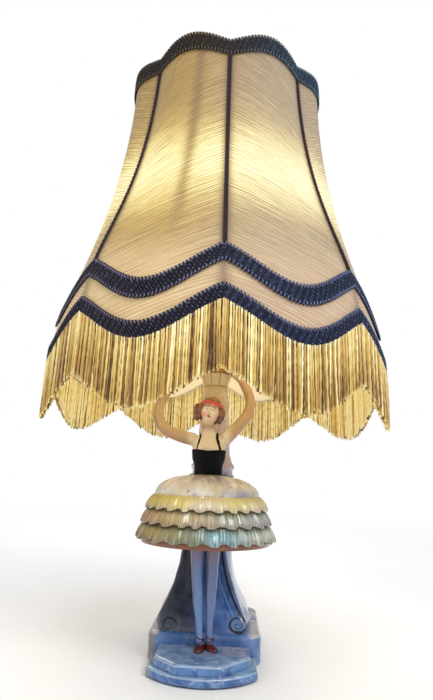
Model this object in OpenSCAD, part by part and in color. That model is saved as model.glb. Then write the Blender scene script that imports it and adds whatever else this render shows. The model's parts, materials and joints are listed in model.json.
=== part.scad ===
// Figural table lamp: a glazed ceramic dancer in front of a scrolled pedestal, a brass
// lampholder on the capital, and a bell shade that rests on a wire carrier.
// Millimetres, +Z up. The origin is on the table, on the axis of the column, and the
// dancer faces -Y. Left and right are the dancer's own: her left side is +X.

/* [Foot] */
// Thickness of the felt pad under the foot
felt_t = 1; // [0.8:0.1:2]
// Margin between the felt pad and the edge of the foot
felt_margin = 2; // [1:0.5:4]
// Width of the rear foot block
block_w = 84; // [74:1:96]
// Height of the rear foot block above the felt
block_h = 19; // [16:1:26]
// Reach of the foot block in front of the column axis
block_front = 50; // [46:1:56]
// Reach of the foot block behind the column axis
block_back = 38; // [30:1:50]
// Radius of the upright corners of the foot block
block_corner = 9; // [6:1:12]
// Radius of the rounded top edge of the foot block
block_edge = 3; // [1.5:0.5:4]
// Thickness of the walls and roof of the foot block
block_wall = 6; // [4:0.5:9]

/* [Front plinth] */
// Width of the lower tier
plinth_w = 76; // [70:1:86]
// Reach of the lower tier in front of the column axis
plinth_front = 96; // [90:1:104]
// Radius of the curved front of the lower tier
plinth_r = 48; // [44:1:60]
// Height of the lower tier above the felt
tier_low_h = 5.5; // [4:0.5:8]
// Height of the upper tier above the lower tier
tier_top_h = 6; // [4:0.5:9]
// Ledge between the two tiers
ledge = 4.5; // [3:0.5:7]
// Width of the flat front of the eight-sided upper tier
tier_top_front_w = 30; // [20:1:38]

/* [Pedestal] */
// Height of the pedestal above the foot block
pedestal_h = 114; // [104:1:126]
// Width of the pedestal's front face at the top
pedestal_top_w = 30; // [26:1:34]
// Width of the pedestal's front face across the scrolls
pedestal_foot_w = 67; // [58:1:72]
// Extra width of the back of the pedestal over its front, on each side of its top
pedestal_splay = 6.5; // [4:0.5:7.5]
// Sideways set of the pedestal's front face
face_set = -2.5; // [-4:0.5:4]
// Height over which the pedestal flares out to its foot
flare_h = 60; // [48:1:76]
// Strength of the flare: 1 is straight and 2 is a full curve
flare_power = 1.6; // [1.2:0.1:2.4]
// Radius of the rounding under the scrolls
scroll_round = 8; // [4:1:11]

/* [Column] */
// Height of the moulded foot of the column
column_foot_h = 17; // [14:1:22]
// Diameter of the foot of the column
column_foot_d = 35; // [33:0.5:37]
// Distance that the moulding stands out from the column foot
moulding_out = 1.3; // [0.8:0.1:2.5]
// Height of the plain shaft
shaft_h = 58; // [52:1:66]
// Diameter of the shaft at its lower end
shaft_low_d = 29; // [26:0.5:31]
// Diameter of the shaft at its upper end
shaft_top_d = 22.5; // [21:0.5:25]

/* [Capital] */
// Height of the capital
capital_h = 15; // [12:0.5:19]
// Diameter of the capital's neck
capital_neck_d = 20.5; // [19:0.5:21]
// Diameter across the rim of the capital
capital_d = 28; // [26:0.5:32]
// Number of petals round the capital
petals = 10; // [8:1:12]
// Depth of the valleys between the petals
petal_depth = 1; // [0.5:0.1:1.4]
// Number of beads round the neck
beads = 20; // [16:1:24]
// Diameter of each bead
bead_d = 2.2; // [1.6:0.1:2.6]

/* [Dancer] */
// Distance of the dancer in front of the column axis
dancer_y = 58; // [56:0.5:62]
// Sideways place of the dancer's waist
dancer_x = -1.5; // [-4:0.5:3]
// Sideways step of the feet from the waist
feet_x = 4.5; // [0:0.5:6]
// Height of the waist above the plinth
waist_h = 121; // [114:1:130]
// Length of the bodice
bodice_h = 18.5; // [16:0.5:21]
// Width of the waist
waist_w = 21.5; // [19:0.5:24]
// Width of the top of the bodice
chest_w = 26.5; // [24:0.5:29]
// Depth of the chest, front to back
chest_d = 17; // [15:0.5:19]
// Height of the shoulders above the bodice
shoulder_h = 8.5; // [7:0.5:10]
// Width across the shoulders
shoulder_w = 31; // [28:0.5:34]
// Diameter of the neck
neck_d = 10.4; // [9:0.2:12]
// Height of the chin above the shoulders
neck_h = 11; // [9.5:0.5:13]
// Height of the head from chin to crown
head_h = 20; // [18:0.5:22]
// Width of the head without the hair
head_w = 15.5; // [14:0.5:17]
// Depth of the head, front to back
head_d = 18; // [16:0.5:20]
// Tilt of the head towards the dancer's left shoulder, in degrees
head_tilt = 10; // [0:1:16]
// Thickness of the hair over the crown
hair_t = 2; // [1.5:0.1:3]
// Diameter of the rolls of hair over the ears
roll_d = 11.5; // [9:0.5:13]
// Diameter of the headband's round section
band_d = 2.8; // [2:0.1:3.5]

/* [Legs] */
// Distance between the two legs at the hips
hip_gap = 13.4; // [13:0.2:15]
// Distance between the two legs at the ankles
ankle_gap = 7; // [6.6:0.2:9]
// Diameter of the thigh
thigh_d = 12.4; // [10:0.2:12.8]
// Diameter of the calf
calf_d = 8; // [7:0.2:8.4]
// Diameter of the ankle
ankle_d = 5.4; // [4.6:0.2:6.2]
// Length of the shoe
shoe_l = 17; // [15:0.5:19]
// Width of the shoe
shoe_w = 6.4; // [5.6:0.2:6.6]
// Height of the shoe
shoe_h = 4.6; // [3.8:0.2:5.4]

/* [Arms] */
// Diameter of the upper arm
arm_d = 10; // [8.5:0.5:11]
// Diameter of the forearm
forearm_d = 8.4; // [7:0.2:9]
// Diameter of the wrist
wrist_d = 5.4; // [4.6:0.2:6.4]
// Direction and strength in which the left arm leaves its shoulder: out, back, up
left_start = [21, 1, 11]; // [-60:1:60]
// Direction and strength in which the left arm comes to its hand: out, forward, down
left_end = [23, 25, 11]; // [-60:1:60]
// Direction and strength in which the right arm leaves its shoulder: out, back, up
right_start = [36, 0, -2]; // [-60:1:60]
// Direction and strength in which the right arm comes to its hand: out, forward, down
right_end = [41, 37, 19]; // [-60:1:60]
// Angle of each hand round the capital, measured from its front
hand_turn = 58; // [40:1:75]

/* [Skirt] */
// Height of the skirt from hem to waist
skirt_h = 48.5; // [44:0.5:54]
// Diameter of the hem under the ruffles
hem_d = 96; // [90:1:102]
// Diameter of the foot of the plain dome
dome_d = 79; // [74:1:82]
// Height of the plain dome
dome_h = 16; // [13:0.5:19]
// Height of the plain band under the lowest ruffle
hem_band = 4; // [3:0.5:6]
// Thickness of the skirt's wall
skirt_wall = 4.5; // [3.5:0.5:6]
// Distance that the ruffles stand out from the skirt
ruffle_out = 3.6; // [2.6:0.2:4.6]
// Number of flutes round each ruffle
flutes = 24; // [18:1:30]
// Depth of the flutes
flute_depth = 0.9; // [0.4:0.1:1.3]
// Open height between the ruffles
ruffle_gap = 2; // [1:0.2:3]

/* [Lampholder] */
// Outer diameter of the threaded stem
stem_d = 10; // [9.5:0.1:10.5]
// Wall of the threaded stem
stem_wall = 1.2; // [1:0.1:1.5]
// Clearance round the stem in the ceramic
stem_slack = 0.8; // [0.4:0.1:1.2]
// Length of stem left free under the foot nut
stem_tail = 2; // [1:0.5:3]
// Height of the nut and of the lock nut
nut_h = 4; // [3:0.5:5]
// Width across the flats of the nuts
nut_flats = 14; // [13:0.5:16]
// Diameter of the washer in the foot
washer_d = 24; // [20:1:30]
// Thickness of the washer in the foot
washer_t = 1.5; // [1:0.1:2]
// Diameter of the brass cap on the capital
brass_cap_d = 24; // [20:0.5:25]
// Height of the brass cap
brass_cap_h = 4; // [3:0.5:6]
// Outer diameter of the lampholder body
holder_d = 39; // [38.5:0.1:39.5]
// Thickness of the lampholder's metal
holder_wall = 1; // [0.8:0.1:1.4]
// Height of the domed cap of the lampholder
holder_cap_h = 22; // [19:0.5:26]
// Height of the lampholder body
holder_body_h = 36; // [34:0.5:42]
// Height of the flange above the lower end of the body
flange_up = 13; // [11:0.5:14]
// Diameter of the flange that carries the shade carrier
flange_d = 44; // [43:0.5:46]
// Thickness of the flange
flange_t = 2.4; // [1.6:0.2:3]
// Radius of the socket in the insulating core
socket_r = 13.7; // [13.5:0.05:14]
// Depth of the socket
socket_depth = 14.5; // [13:0.5:16]
// Diameter of the push bar
bar_d = 5; // [4:0.2:5.6]
// Length of the push bar
bar_l = 52; // [50:1:58]
// Travel of the push bar
bar_travel = 6; // [4:0.5:8]
// Running clearance on radius of the push bar and of the shade ring
running_fit = 0.06; // [0.03:0.01:0.09]

/* [Bulb] */
// Diameter of the glass bulb
bulb_d = 60; // [50:1:62]
// Length of the bulb from contact to crown
bulb_l = 105; // [98:1:112]
// Diameter of the metal cap of the bulb
bulb_cap_d = 26.4; // [26:0.1:26.6]
// Height of the metal cap of the bulb
bulb_cap_h = 24; // [22:0.5:27]
// Wall of the glass
glass_t = 0.8; // [0.6:0.1:1.2]

/* [Shade carrier] */
// Thickness of the carrier plate
plate_t = 1.2; // [1:0.1:2]
// Diameter of the carrier plate
plate_d = 60; // [58:1:66]
// Height of the shade ring
ring_h = 8; // [6:0.5:10]
// Diameter of the shade ring
ring_d = 50; // [46:1:51]
// Number of grip notches round the shade ring
ring_notches = 24; // [16:1:32]
// Height of the carrier from its plate to its hoop
carrier_h = 206; // [198:1:214]
// Radius of the carrier's hoop
hoop_r = 50; // [46:1:58]
// Thickness of the hoop wire
hoop_wire = 4; // [3:0.2:5]
// Thickness of the carrier's upright wires
upright_wire = 2.6; // [2:0.2:3]
// Height that the uprights stand above the hoop
peg_h = 6; // [4:0.5:8]
// Turn of the uprights round the carrier, from the middle of the shade's front rib
upright_turn = 73.5; // [0:0.5:89.5]
// Seating clearance between parts that rest on each other
seat_gap = 0.3; // [0.2:0.05:0.4]

/* [Shade frame] */
// Number of ribs and of panels
panels = 8; // [6:1:10]
// Angle by which the shade is turned on its carrier
shade_turn = 3; // [0:1:44]
// Height of the cover along a rib
shade_h = 265; // [250:1:280]
// Radius of the cover at its upper edge, on a rib
shade_top_r = 88.5; // [80:0.5:96]
// Radius of the cover at its lower edge, on a rib
shade_low_r = 145.5; // [136:0.5:152]
// Outward flare of the neck
neck_flare = 6; // [2:0.5:9]
// Length of the slender neck
neck_len = 161; // [140:1:175]
// Length of the upright skirt of the bell
belly_len = 66; // [55:1:80]
// Bow of each panel at the upper edge
bow_top = 6; // [3:0.5:8]
// Bow of each panel at the lower edge
bow_low = 2; // [1:0.5:4]
// Rise of the upper edge between two ribs
arch_top = 6; // [3:0.5:9]
// Drop of the lower edge between two ribs
drop_low = 27; // [18:1:30]
// Share by which the swell of a panel flattens out beside its ribs
rib_flat = 0.5; // [0:0.05:0.6]
// Depth of the middle band's centre below the upper edge
mid_depth = 226; // [215:1:230]
// Thickness of the frame's ring wires
ring_wire = 3; // [2.4:0.2:3.4]
// Thickness of the frame's rib wires
rib_wire = 2.6; // [2:0.2:3]
// Thickness of the fitter's wires
fitter_wire = 3.2; // [2.6:0.2:3.6]
// Height of the shade's upper edge above its fitter ring
fitter_drop = 28; // [22:1:36]

/* [Shade covering] */
// Thickness of the cover fabric
cover_t = 0.8; // [0.6:0.1:1.2]
// Thickness of the lining
lining_t = 0.6; // [0.5:0.1:1]
// Clearance between the layers of the shade
layer_gap = 0.4; // [0.3:0.05:0.5]
// Width of the top braid
top_braid_w = 19; // [14:1:24]
// Width of the middle and lower braids
braid_w = 14; // [10:1:16]
// Thickness of the braids
braid_t = 1.8; // [1.2:0.1:2.4]
// Width of the gimp along each rib
piping_w = 4; // [3:0.2:5]
// Thickness of the gimp along each rib
piping_t = 1.4; // [1:0.1:2]
// Length of the fringe below the lower braid
fringe_l = 43; // [30:1:55]
// Outward lean of the fringe
fringe_lean = 0.5; // [0:0.5:5]
// Thickness of the fringe
fringe_t = 2.2; // [1.6:0.1:3]

/* [Cord inlet] */
// Bore of the bush in the back of the foot
bush_bore = 7.4; // [6.6:0.1:8]
// Outer diameter of the bush's barrel
bush_d = 10; // [9.4:0.1:11]
// Diameter of the bush's head
bush_head_d = 14; // [13:0.5:16]
// Thickness of the bush's head
bush_head_t = 2; // [1.5:0.1:3]

/* [Hidden] */
$fn = 48;

// Small overlap where one ceramic piece is pressed into the next while wet
luted = 0.6;
// Length of the neck that is sunk in the head
neck_sunk = 3;
// Length of the stem inside the cap of the lampholder
stem_in_cap = 8;
// Cut tools run past the faces that they cut by this much
past = 1;

// Heights, from the table up
block_top = felt_t + block_h;
plinth_top = felt_t + tier_low_h + tier_top_h;
column_z = block_top + pedestal_h;
shaft_z = column_z + column_foot_h;
capital_z = shaft_z + shaft_h;
capital_top = capital_z + capital_h;
lock_z = capital_top + brass_cap_h;
holder_z = lock_z + nut_h;
body_z = holder_z + holder_cap_h;
bar_z = body_z + flange_up / 2;
plate_z = body_z + flange_up + flange_t;
holder_top = body_z + holder_body_h;
bulb_z = holder_top - socket_depth + 1;
hoop_z = plate_z + plate_t + carrier_h;
fitter_z = hoop_z + hoop_wire / 2 + seat_gap + fitter_wire / 2;
shade_top = fitter_z + fitter_drop;
roof_z = block_top - block_wall;
inlet_z = felt_t + (block_h - block_wall) / 2;
washer_z = roof_z - washer_t;
foot_nut_z = washer_z - nut_h;
stem_low = foot_nut_z - stem_tail;

stem_bore_r = stem_d / 2 + stem_slack;
core_bore_r = stem_d / 2 + running_fit;

// Dancer's heights and places
waist_z = plinth_top + waist_h;
chest_z = waist_z + bodice_h;
shoulder_z = chest_z + shoulder_h;
chin_z = shoulder_z + neck_h;
hem_z = waist_z - skirt_h;
dome_z = waist_z - dome_h;
waist = [dancer_x, -dancer_y];
hip_z = waist_z - skirt_wall + luted;
ruffle_h = (dome_z - hem_z - hem_band + ruffle_gap) / 3;

// Shade carrier: where its wires stand on the plate and pass inside the hoop
upright_foot_r = plate_d / 2 - upright_wire / 2 - 0.4;
peg_r = hoop_r - hoop_wire / 2 - upright_wire / 2 + 0.1;

// Shade: outline of a rib as [radius, depth below the upper edge]
rib_curve = [
  [shade_top_r, 0], [shade_top_r + neck_flare, neck_len],
  [shade_low_r, shade_h - belly_len], [shade_low_r, shade_h]
];
steps_per_panel = 6;
columns = panels * steps_per_panel;
ring_depths = [ring_wire, mid_depth, shade_h - ring_wire];
wire_off = -(cover_t + layer_gap + ring_wire / 2);
lining_off = -(cover_t + 2 * layer_gap + ring_wire);
lining_drop = ring_wire / 2 + fitter_wire;

// ---------------------------------------------------------------- shared shapes

function lerp(a, b, t) = a + (b - a) * t;
function clip(x, lo, hi) = max(lo, min(hi, x));
function unit(v) = v / norm(v);
function bezier(p, t) =
  pow(1 - t, 3) * p[0] + 3 * pow(1 - t, 2) * t * p[1] + 3 * (1 - t) * t * t * p[2] + t * t * t * p[3];
function bezier_slope(p, t) =
  3 * pow(1 - t, 2) * (p[1] - p[0]) + 6 * (1 - t) * t * (p[2] - p[1]) + 3 * t * t * (p[3] - p[2]);

// Value at t of a table of [place, value] rows, eased between the rows
function eased(rows, t, i = 0) =
  t <= rows[0][0] ? rows[0][1] :
  i >= len(rows) - 1 ? rows[len(rows) - 1][1] :
  t <= rows[i + 1][0] ?
    let (s = (t - rows[i][0]) / (rows[i + 1][0] - rows[i][0]))
    lerp(rows[i][1], rows[i + 1][1], s * s * (3 - 2 * s)) :
  eased(rows, t, i + 1);

// Level ring of n points round [x, y], with half-axes a and b, squared off by power p
function oval(x, y, z, a, b, n, p = 1) = [
  for (i = [0 : n - 1])
    let (c = cos(360 * i / n), s = sin(360 * i / n))
    [x + a * sign(c) * pow(abs(c), p), y + b * sign(s) * pow(abs(s), p), z]
];

// Ring of n points of radii a and b, square to the direction d, round the point c
function cross_ring(c, d, a, b, n) =
  let (t = unit(d), u = unit(cross(t, abs(t[1]) < 0.9 ? [0, 1, 0] : [0, 0, 1])), v = cross(t, u))
  [for (i = [0 : n - 1]) c + a * cos(360 * i / n) * u + b * sin(360 * i / n) * v];

// Closed skin over a stack of rings, each of the same number of points, from one end to the other
module skin(rings) {
  n = len(rings[0]);
  last = (len(rings) - 1) * n;
  sides = [
    for (r = [0 : len(rings) - 2], i = [0 : n - 1])
      let (a = r * n + i, b = r * n + (i + 1) % n)
      each [[a, b + n, b], [a, a + n, b + n]]
  ];
  ends = [[for (i = [0 : n - 1]) i], [for (i = [n - 1 : -1 : 0]) last + i]];
  polyhedron([for (r = rings, p = r) p], concat(ends, sides), convexity = 6);
}

// Closed hoop through a ring of sections, each of the same number of points
module hoop_skin(sections) {
  m = len(sections[0]);
  k = len(sections);
  polyhedron(
    [for (s = sections, p = s) p],
    [
      for (c = [0 : k - 1], i = [0 : m - 1])
        let (
          next = (c + 1) % k, j = (i + 1) % m,
          a = c * m + i, b = c * m + j, d = next * m + i, e = next * m + j
        )
        each [[a, b, e], [a, e, d]]
    ],
    convexity = 10
  );
}

module rod(from, to, r) {
  d = to - from;
  turn = [0, acos(d[2] / norm(d)), atan2(d[1], d[0])];
  translate(from)
    rotate(turn)
      cylinder(h = norm(d), r = r);
}

module tube(z, h, r_out, r_in) {
  translate([0, 0, z])
    difference() {
      cylinder(h = h, r = r_out);
      translate([0, 0, -past])
        cylinder(h = h + 2 * past, r = r_in);
    }
}

// ---------------------------------------------------------------- foot and plinth

// Plan of a slab with rounded corners
module slab_plan(w, front, back, r) {
  translate([-w / 2 + r, -front])
    square([w - 2 * r, front + back]);
  translate([-w / 2, -front + r])
    square([w, front + back - 2 * r]);
  for (x = [-1, 1], y = [-front + r, back - r])
    translate([x * (w / 2 - r), y])
      circle(r = r);
}

// Plan of the lower tier: straight sides and a curved front, drawn in by a margin
module low_plan(margin) {
  intersection() {
    translate([-plinth_w / 2 + margin, -plinth_front])
      square([plinth_w - 2 * margin, plinth_front - block_front]);
    translate([0, -plinth_front + plinth_r])
      circle(r = plinth_r - margin, $fn = 96);
  }
}

module felt_pad() {
  color("darkgreen")
    linear_extrude(felt_t) {
      slab_plan(
        block_w - 2 * felt_margin, block_front, block_back - felt_margin, block_corner - felt_margin
      );
      low_plan(felt_margin);
    }
}

// Ring of points round a slab with rounded corners
function slab_ring(w, front, back, r, z) =
  let (n = 6, places = [[1, 1], [-1, 1], [-1, -1], [1, -1]])
  [
    for (q = [0 : 3], i = [0 : n])
      let (a = 90 * (q + i / n), sx = places[q][0], sy = places[q][1])
      [sx * (w / 2 - r) + r * cos(a), (sy > 0 ? back - r : -front + r) + r * sin(a), z]
  ];

module foot_block() {
  inner_w = block_w - 2 * block_wall;
  bend = 4;
  color("steelblue")
    difference() {
      skin(concat(
        [slab_ring(block_w, block_front, block_back, block_corner, felt_t)],
        [
          for (i = [0 : bend])
            let (a = 90 * i / bend, in = block_edge * (1 - cos(a)))
            slab_ring(
              block_w - 2 * in, block_front - in, block_back - in, block_corner - in,
              block_top - block_edge * (1 - sin(a))
            )
        ]
      ));
      translate([-inner_w / 2, -block_front + block_wall, felt_t - past])
        cube([inner_w, block_front + block_back - 2 * block_wall, block_h - block_wall + past]);
      translate([0, 0, roof_z - past])
        cylinder(h = block_wall + 2 * past, r = stem_bore_r);
      translate([0, block_back - block_wall - past, inlet_z])
        rotate([-90, 0, 0])
          cylinder(h = block_wall + 2 * past, r = bush_d / 2);
    }
}

module tier_low() {
  color("cornflowerblue")
    translate([0, 0, felt_t])
      linear_extrude(tier_low_h)
        low_plan(0);
}

module tier_top() {
  half = plinth_w / 2 - ledge;
  front = plinth_front - ledge;
  flat = tier_top_front_w / 2;
  cut = half - flat;
  color("lightsteelblue")
    translate([0, 0, felt_t + tier_low_h])
      linear_extrude(tier_top_h)
        polygon([
          [-half, -block_front], [-half, -front + cut], [-flat, -front],
          [flat, -front], [half, -front + cut], [half, -block_front]
        ]);
}

// ---------------------------------------------------------------- pedestal and column

// Share of the flare at height z, 0 on the plain upper part and 1 at the scrolls
function flare(z) = pow(clip((block_top + flare_h - z) / (flare_h - scroll_round), 0, 1), flare_power);

// Share by which the scrolls turn in under their widest place
function tuck(z) =
  let (t = clip((block_top + scroll_round - z) / scroll_round, 0, 1))
  1 - sqrt(1 - 0.75 * t * t);

// Ring round the pedestal at height z, drawn in by a distance
function pedestal_ring(z, by = 0) =
  let (
    f = flare(z),
    in = scroll_round * tuck(z) + by,
    front_a = lerp(pedestal_top_w, pedestal_foot_w, f) / 2 - in,
    back_a = lerp(pedestal_top_w / 2 + pedestal_splay, pedestal_foot_w / 2, f) - by,
    front_y = lerp(column_foot_d / 2, block_front - block_edge, f) - by,
    back_y = lerp(column_foot_d / 2, block_back - block_edge, f) - by,
    c = 1.5
  )
  [
    [face_set - front_a + c, -front_y, z], [face_set + front_a - c, -front_y, z],
    [face_set + front_a, -front_y + c, z],
    [back_a, back_y - 4 * c, z], [back_a - 3 * c, back_y, z], [-back_a + 3 * c, back_y, z],
    [-back_a, back_y - 4 * c, z], [face_set - front_a, -front_y + c, z]
  ];

module pedestal() {
  low = [for (i = [0 : 4]) block_top + scroll_round * i / 5];
  high = [for (i = [0 : 9]) block_top + scroll_round + (flare_h - scroll_round) * i / 9];
  color("royalblue")
    difference() {
      skin([for (z = concat(low, high, [column_z])) pedestal_ring(z)]);
      translate([0, 0, block_top - past])
        cylinder(h = pedestal_h + 2 * past, r = stem_bore_r);
    }
}

// Takes the pedestal out of a piece that is luted to its front
module off_pedestal() {
  bottom = hem_z - past;
  bend_z = max(bottom + past, block_top + flare_h);
  difference() {
    children();
    skin([for (z = [bottom, lerp(bottom, bend_z, 0.5), bend_z, column_z + past]) pedestal_ring(z, luted)]);
  }
}

// Turned piece on the column axis from a table of [height, radius] rows, bored for the stem
module turned(z, h, rows, bore_r) {
  steps = 20;
  translate([0, 0, z])
    rotate_extrude($fn = 64)
      polygon(concat(
        [[bore_r, 0]],
        [for (i = [0 : steps]) [eased(rows, i / steps), h * i / steps]],
        [[bore_r, h]]
      ));
}

module column_foot() {
  r = column_foot_d / 2;
  color("thistle")
    turned(column_z, column_foot_h, [
      [0, r], [0.2, r], [0.38, r + moulding_out], [0.55, r - 0.6], [1, shaft_low_d / 2]
    ], stem_bore_r);
}

module column_shaft() {
  color("mistyrose")
    translate([0, 0, shaft_z])
      rotate_extrude($fn = 64)
        polygon([
          [stem_bore_r, 0], [shaft_low_d / 2, 0], [shaft_top_d / 2, shaft_h], [stem_bore_r, shaft_h]
        ]);
}

// Flared cup with a rolled rim, and a groove between each two petals
module capital() {
  neck_r = capital_neck_d / 2;
  rim_r = capital_d / 2;
  rim_h = capital_h * 0.16;
  groove_r = petal_depth * 1.2;
  color("wheat")
    translate([0, 0, capital_z])
      difference() {
        rotate_extrude($fn = 64)
          polygon([
            [stem_bore_r, 0], [neck_r, 0], [neck_r, bead_d],
            [lerp(neck_r, rim_r, 0.2), capital_h * 0.4], [lerp(neck_r, rim_r, 0.6), capital_h * 0.66],
            [lerp(neck_r, rim_r, 0.84), capital_h - rim_h], [rim_r, capital_h - rim_h / 2],
            [rim_r - rim_h / 4, capital_h], [stem_bore_r, capital_h]
          ]);
        for (i = [0 : petals - 1])
          rotate(360 * (i + 0.5) / petals)
            rod(
              [0, -neck_r - groove_r, bead_d + groove_r],
              [0, -rim_r - groove_r + petal_depth, capital_h + past],
              groove_r
            );
      }
}

module bead_ring() {
  r = capital_neck_d / 2;
  color("ivory")
    translate([0, 0, capital_z + bead_d / 2])
      for (i = [0 : beads - 1])
        rotate(360 * i / beads)
          translate([0, -r, 0])
            sphere(d = bead_d, $fn = 16);
}

// ---------------------------------------------------------------- dancer

// side is +1 for the left leg and -1 for the right one
function leg_x(side, t) =
  dancer_x + side * lerp(ankle_gap, hip_gap, pow(t, 1.3)) / 2 + feet_x * (1 - t);

module leg(side) {
  low = plinth_top + shoe_h - luted;
  girth = [
    [0, ankle_d], [0.1, ankle_d], [0.3, calf_d], [0.47, calf_d * 0.84], [0.95, thigh_d], [1, thigh_d]
  ];
  rows = 12;
  color("lavender")
    skin([
      for (k = [0 : rows])
        let (t = k / rows, d = eased(girth, t))
        oval(leg_x(side, t), -dancer_y, lerp(low, hip_z, t), d / 2, d / 2, 12)
    ]);
}

module left_leg() {
  leg(1);
}

module right_leg() {
  leg(-1);
}

// Ballet shoe: one foot stands a little in front of the other
module shoe(side) {
  step = side < 0 ? 2.5 : -1.5;
  x = leg_x(side, 0);
  heel_y = -dancer_y + shoe_l * 0.27 - step;
  fullness = [[0, 0.45], [0.18, 0.9], [0.6, 1], [0.86, 0.8], [1, 0.3]];
  height = [[0, 0.75], [0.25, 1], [0.6, 0.72], [1, 0.35]];
  rows = 8;
  color("maroon")
    skin([
      for (k = [0 : rows])
        let (
          t = k / rows, a = shoe_w / 2 * eased(fullness, t), h = shoe_h * eased(height, t),
          y = heel_y - shoe_l * t
        )
        [
          for (p = [[1, 0], [0.94, 0.45], [0.6, 0.88], [0, 1], [-0.6, 0.88], [-0.94, 0.45], [-1, 0]])
            [x + a * p[0], y, plinth_top + h * p[1]]
        ]
    ]);
}

module left_shoe() {
  shoe(1);
}

module right_shoe() {
  shoe(-1);
}

// Radius of the skirt at height z
function skirt_r(z) =
  z <= dome_z ?
    lerp(hem_d, dome_d, clip((z - hem_z - hem_band) / (dome_z - hem_z - hem_band), 0, 1)) / 2 :
    dome_d / 2 * pow(1 - pow((z - dome_z) / dome_h, 2.3), 1 / 2.3);

module skirt() {
  steps = 14;
  crown_r = waist_w / 2 * 0.85;
  outside = concat(
    [[hem_d / 2, hem_z], [hem_d / 2, hem_z + hem_band]],
    [for (i = [0 : steps - 1]) let (z = waist_z - dome_h * pow(1 - i / steps, 1.6)) [skirt_r(z), z]],
    [[crown_r, waist_z], [0, waist_z]]
  );
  inside = [
    [0, waist_z - skirt_wall], [crown_r, waist_z - skirt_wall],
    [dome_d / 2 - skirt_wall - 3, dome_z + dome_h * 0.4], [dome_d / 2 - skirt_wall, dome_z],
    [hem_d / 2 - skirt_wall, hem_z + hem_band], [hem_d / 2 - skirt_wall, hem_z]
  ];
  color("ivory")
    off_pedestal()
      translate([waist[0], waist[1], 0])
        rotate_extrude($fn = 72)
          polygon(concat(outside, inside));
}

// Gathered ruffle from height top down to height low, standing out more at its lower edge
module ruffle(low, top) {
  n = flutes * 3;
  off_pedestal()
    translate([waist[0], waist[1], 0])
      hoop_skin([
        for (i = [0 : n - 1])
          let (
            a = 360 * i / n,
            wave = cos(flutes * a),
            r_low = skirt_r(low) + ruffle_out * 0.85 + flute_depth * wave,
            r_top = skirt_r(top) + 0.8 + 0.3 * flute_depth * wave
          )
          [
            for (p = [
              [skirt_r(low) - luted, low], [r_low, low + 0.4 * wave],
              [r_top, top], [skirt_r(top) - luted, top]
            ])
              [p[0] * cos(a), p[0] * sin(a), p[1]]
          ]
      ]);
}

module ruffle_top() {
  color("khaki")
    ruffle(dome_z - ruffle_h + ruffle_gap, dome_z);
}

module ruffle_mid() {
  color("plum")
    ruffle(dome_z - 2 * ruffle_h + ruffle_gap, dome_z - ruffle_h);
}

module ruffle_hem() {
  color("turquoise")
    ruffle(hem_z + hem_band, dome_z - 2 * ruffle_h);
}

module bodice() {
  rows = 5;
  color("black")
    skin([
      for (k = [0 : rows])
        let (t = k / rows, w = eased([[0, waist_w], [0.15, waist_w], [1, chest_w]], t))
        oval(dancer_x, -dancer_y, lerp(waist_z, chest_z, t), w / 2, chest_d / 2 * lerp(0.88, 1, t), 16)
    ]);
}

module torso() {
  neck_r = neck_d / 2;
  rows = [
    [chest_z, chest_w / 2 - luted, chest_d / 2 - luted],
    [lerp(chest_z, shoulder_z, 0.55), shoulder_w / 2 - luted, chest_d * 0.46],
    [shoulder_z, shoulder_w / 2, chest_d * 0.4],
    [lerp(shoulder_z, chin_z, 0.2), shoulder_w * 0.4, chest_d * 0.36],
    [lerp(shoulder_z, chin_z, 0.4), neck_r + 1.4, neck_r + 0.7],
    [lerp(shoulder_z, chin_z, 0.6), neck_r, neck_r],
    [chin_z + neck_sunk, neck_r, neck_r]
  ];
  color("navajowhite")
    skin([for (r = rows) oval(dancer_x, -dancer_y, r[0], r[1], r[2], 16)]);
}

// Places a piece of the head: the origin is the middle of the head, before the tilt
module at_head() {
  translate([dancer_x, -dancer_y, chin_z])
    rotate([0, head_tilt, 0])
      translate([0, -1.2, head_h / 2])
        children();
}

// Egg from z = -h / 2 to h / 2, fuller at the top by the given share
module egg(w, d, h, n, rows, taper) {
  skin([
    for (k = [0 : rows])
      let (t = clip(k / rows, 0.02, 0.98), z = -cos(180 * t), r = sin(180 * t) * (1 + taper * z))
      oval(0, 0, z * h / 2, w / 2 * r, d / 2 * r, n)
  ]);
}

module head() {
  color("navajowhite")
    at_head()
      egg(head_w, head_d, head_h, 16, 10, 0.1);
}

module hair() {
  back = head_d * 0.14;
  color("sienna")
    at_head()
      difference() {
        union() {
          translate([0, back, hair_t])
            egg(head_w + 2 * hair_t + 1, head_d + hair_t, head_h - 1, 14, 7, 0.05);
          for (side = [-1, 1])
            translate([side * (head_w / 2 + 1), 0.6, -head_h * 0.17])
              egg(roll_d * 0.8, roll_d, roll_d * 1.15, 10, 5, 0);
        }
        egg(head_w - 2 * luted, head_d - 2 * luted, head_h - 2 * luted, 16, 10, 0.1);
      }
}

module headband() {
  r = head_w / 2 + hair_t;
  color("firebrick")
    at_head()
      translate([0, head_d * 0.04, head_h * 0.2])
        rotate([-14, 0, 0])
          rotate_extrude($fn = 48)
            translate([r, 0])
              circle(d = band_d, $fn = 20);
}

// side is +1 for the left arm and -1 for the right one
function hand_place(side) =
  let (r = capital_d / 2 - 0.3)
  [side * r * sin(hand_turn), -r * cos(hand_turn), capital_top - 3.2];

function arm_path(side) =
  let (
    shoulder = [dancer_x + side * (shoulder_w / 2 - arm_d * 0.34), -dancer_y, shoulder_z - 2.2],
    hand = hand_place(side),
    s = side > 0 ? left_start : right_start,
    e = side > 0 ? left_end : right_end
  )
  [
    shoulder,
    shoulder + [side * s[0], s[1], s[2]],
    hand + [side * e[0], -e[1], -e[2]],
    hand
  ];

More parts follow.
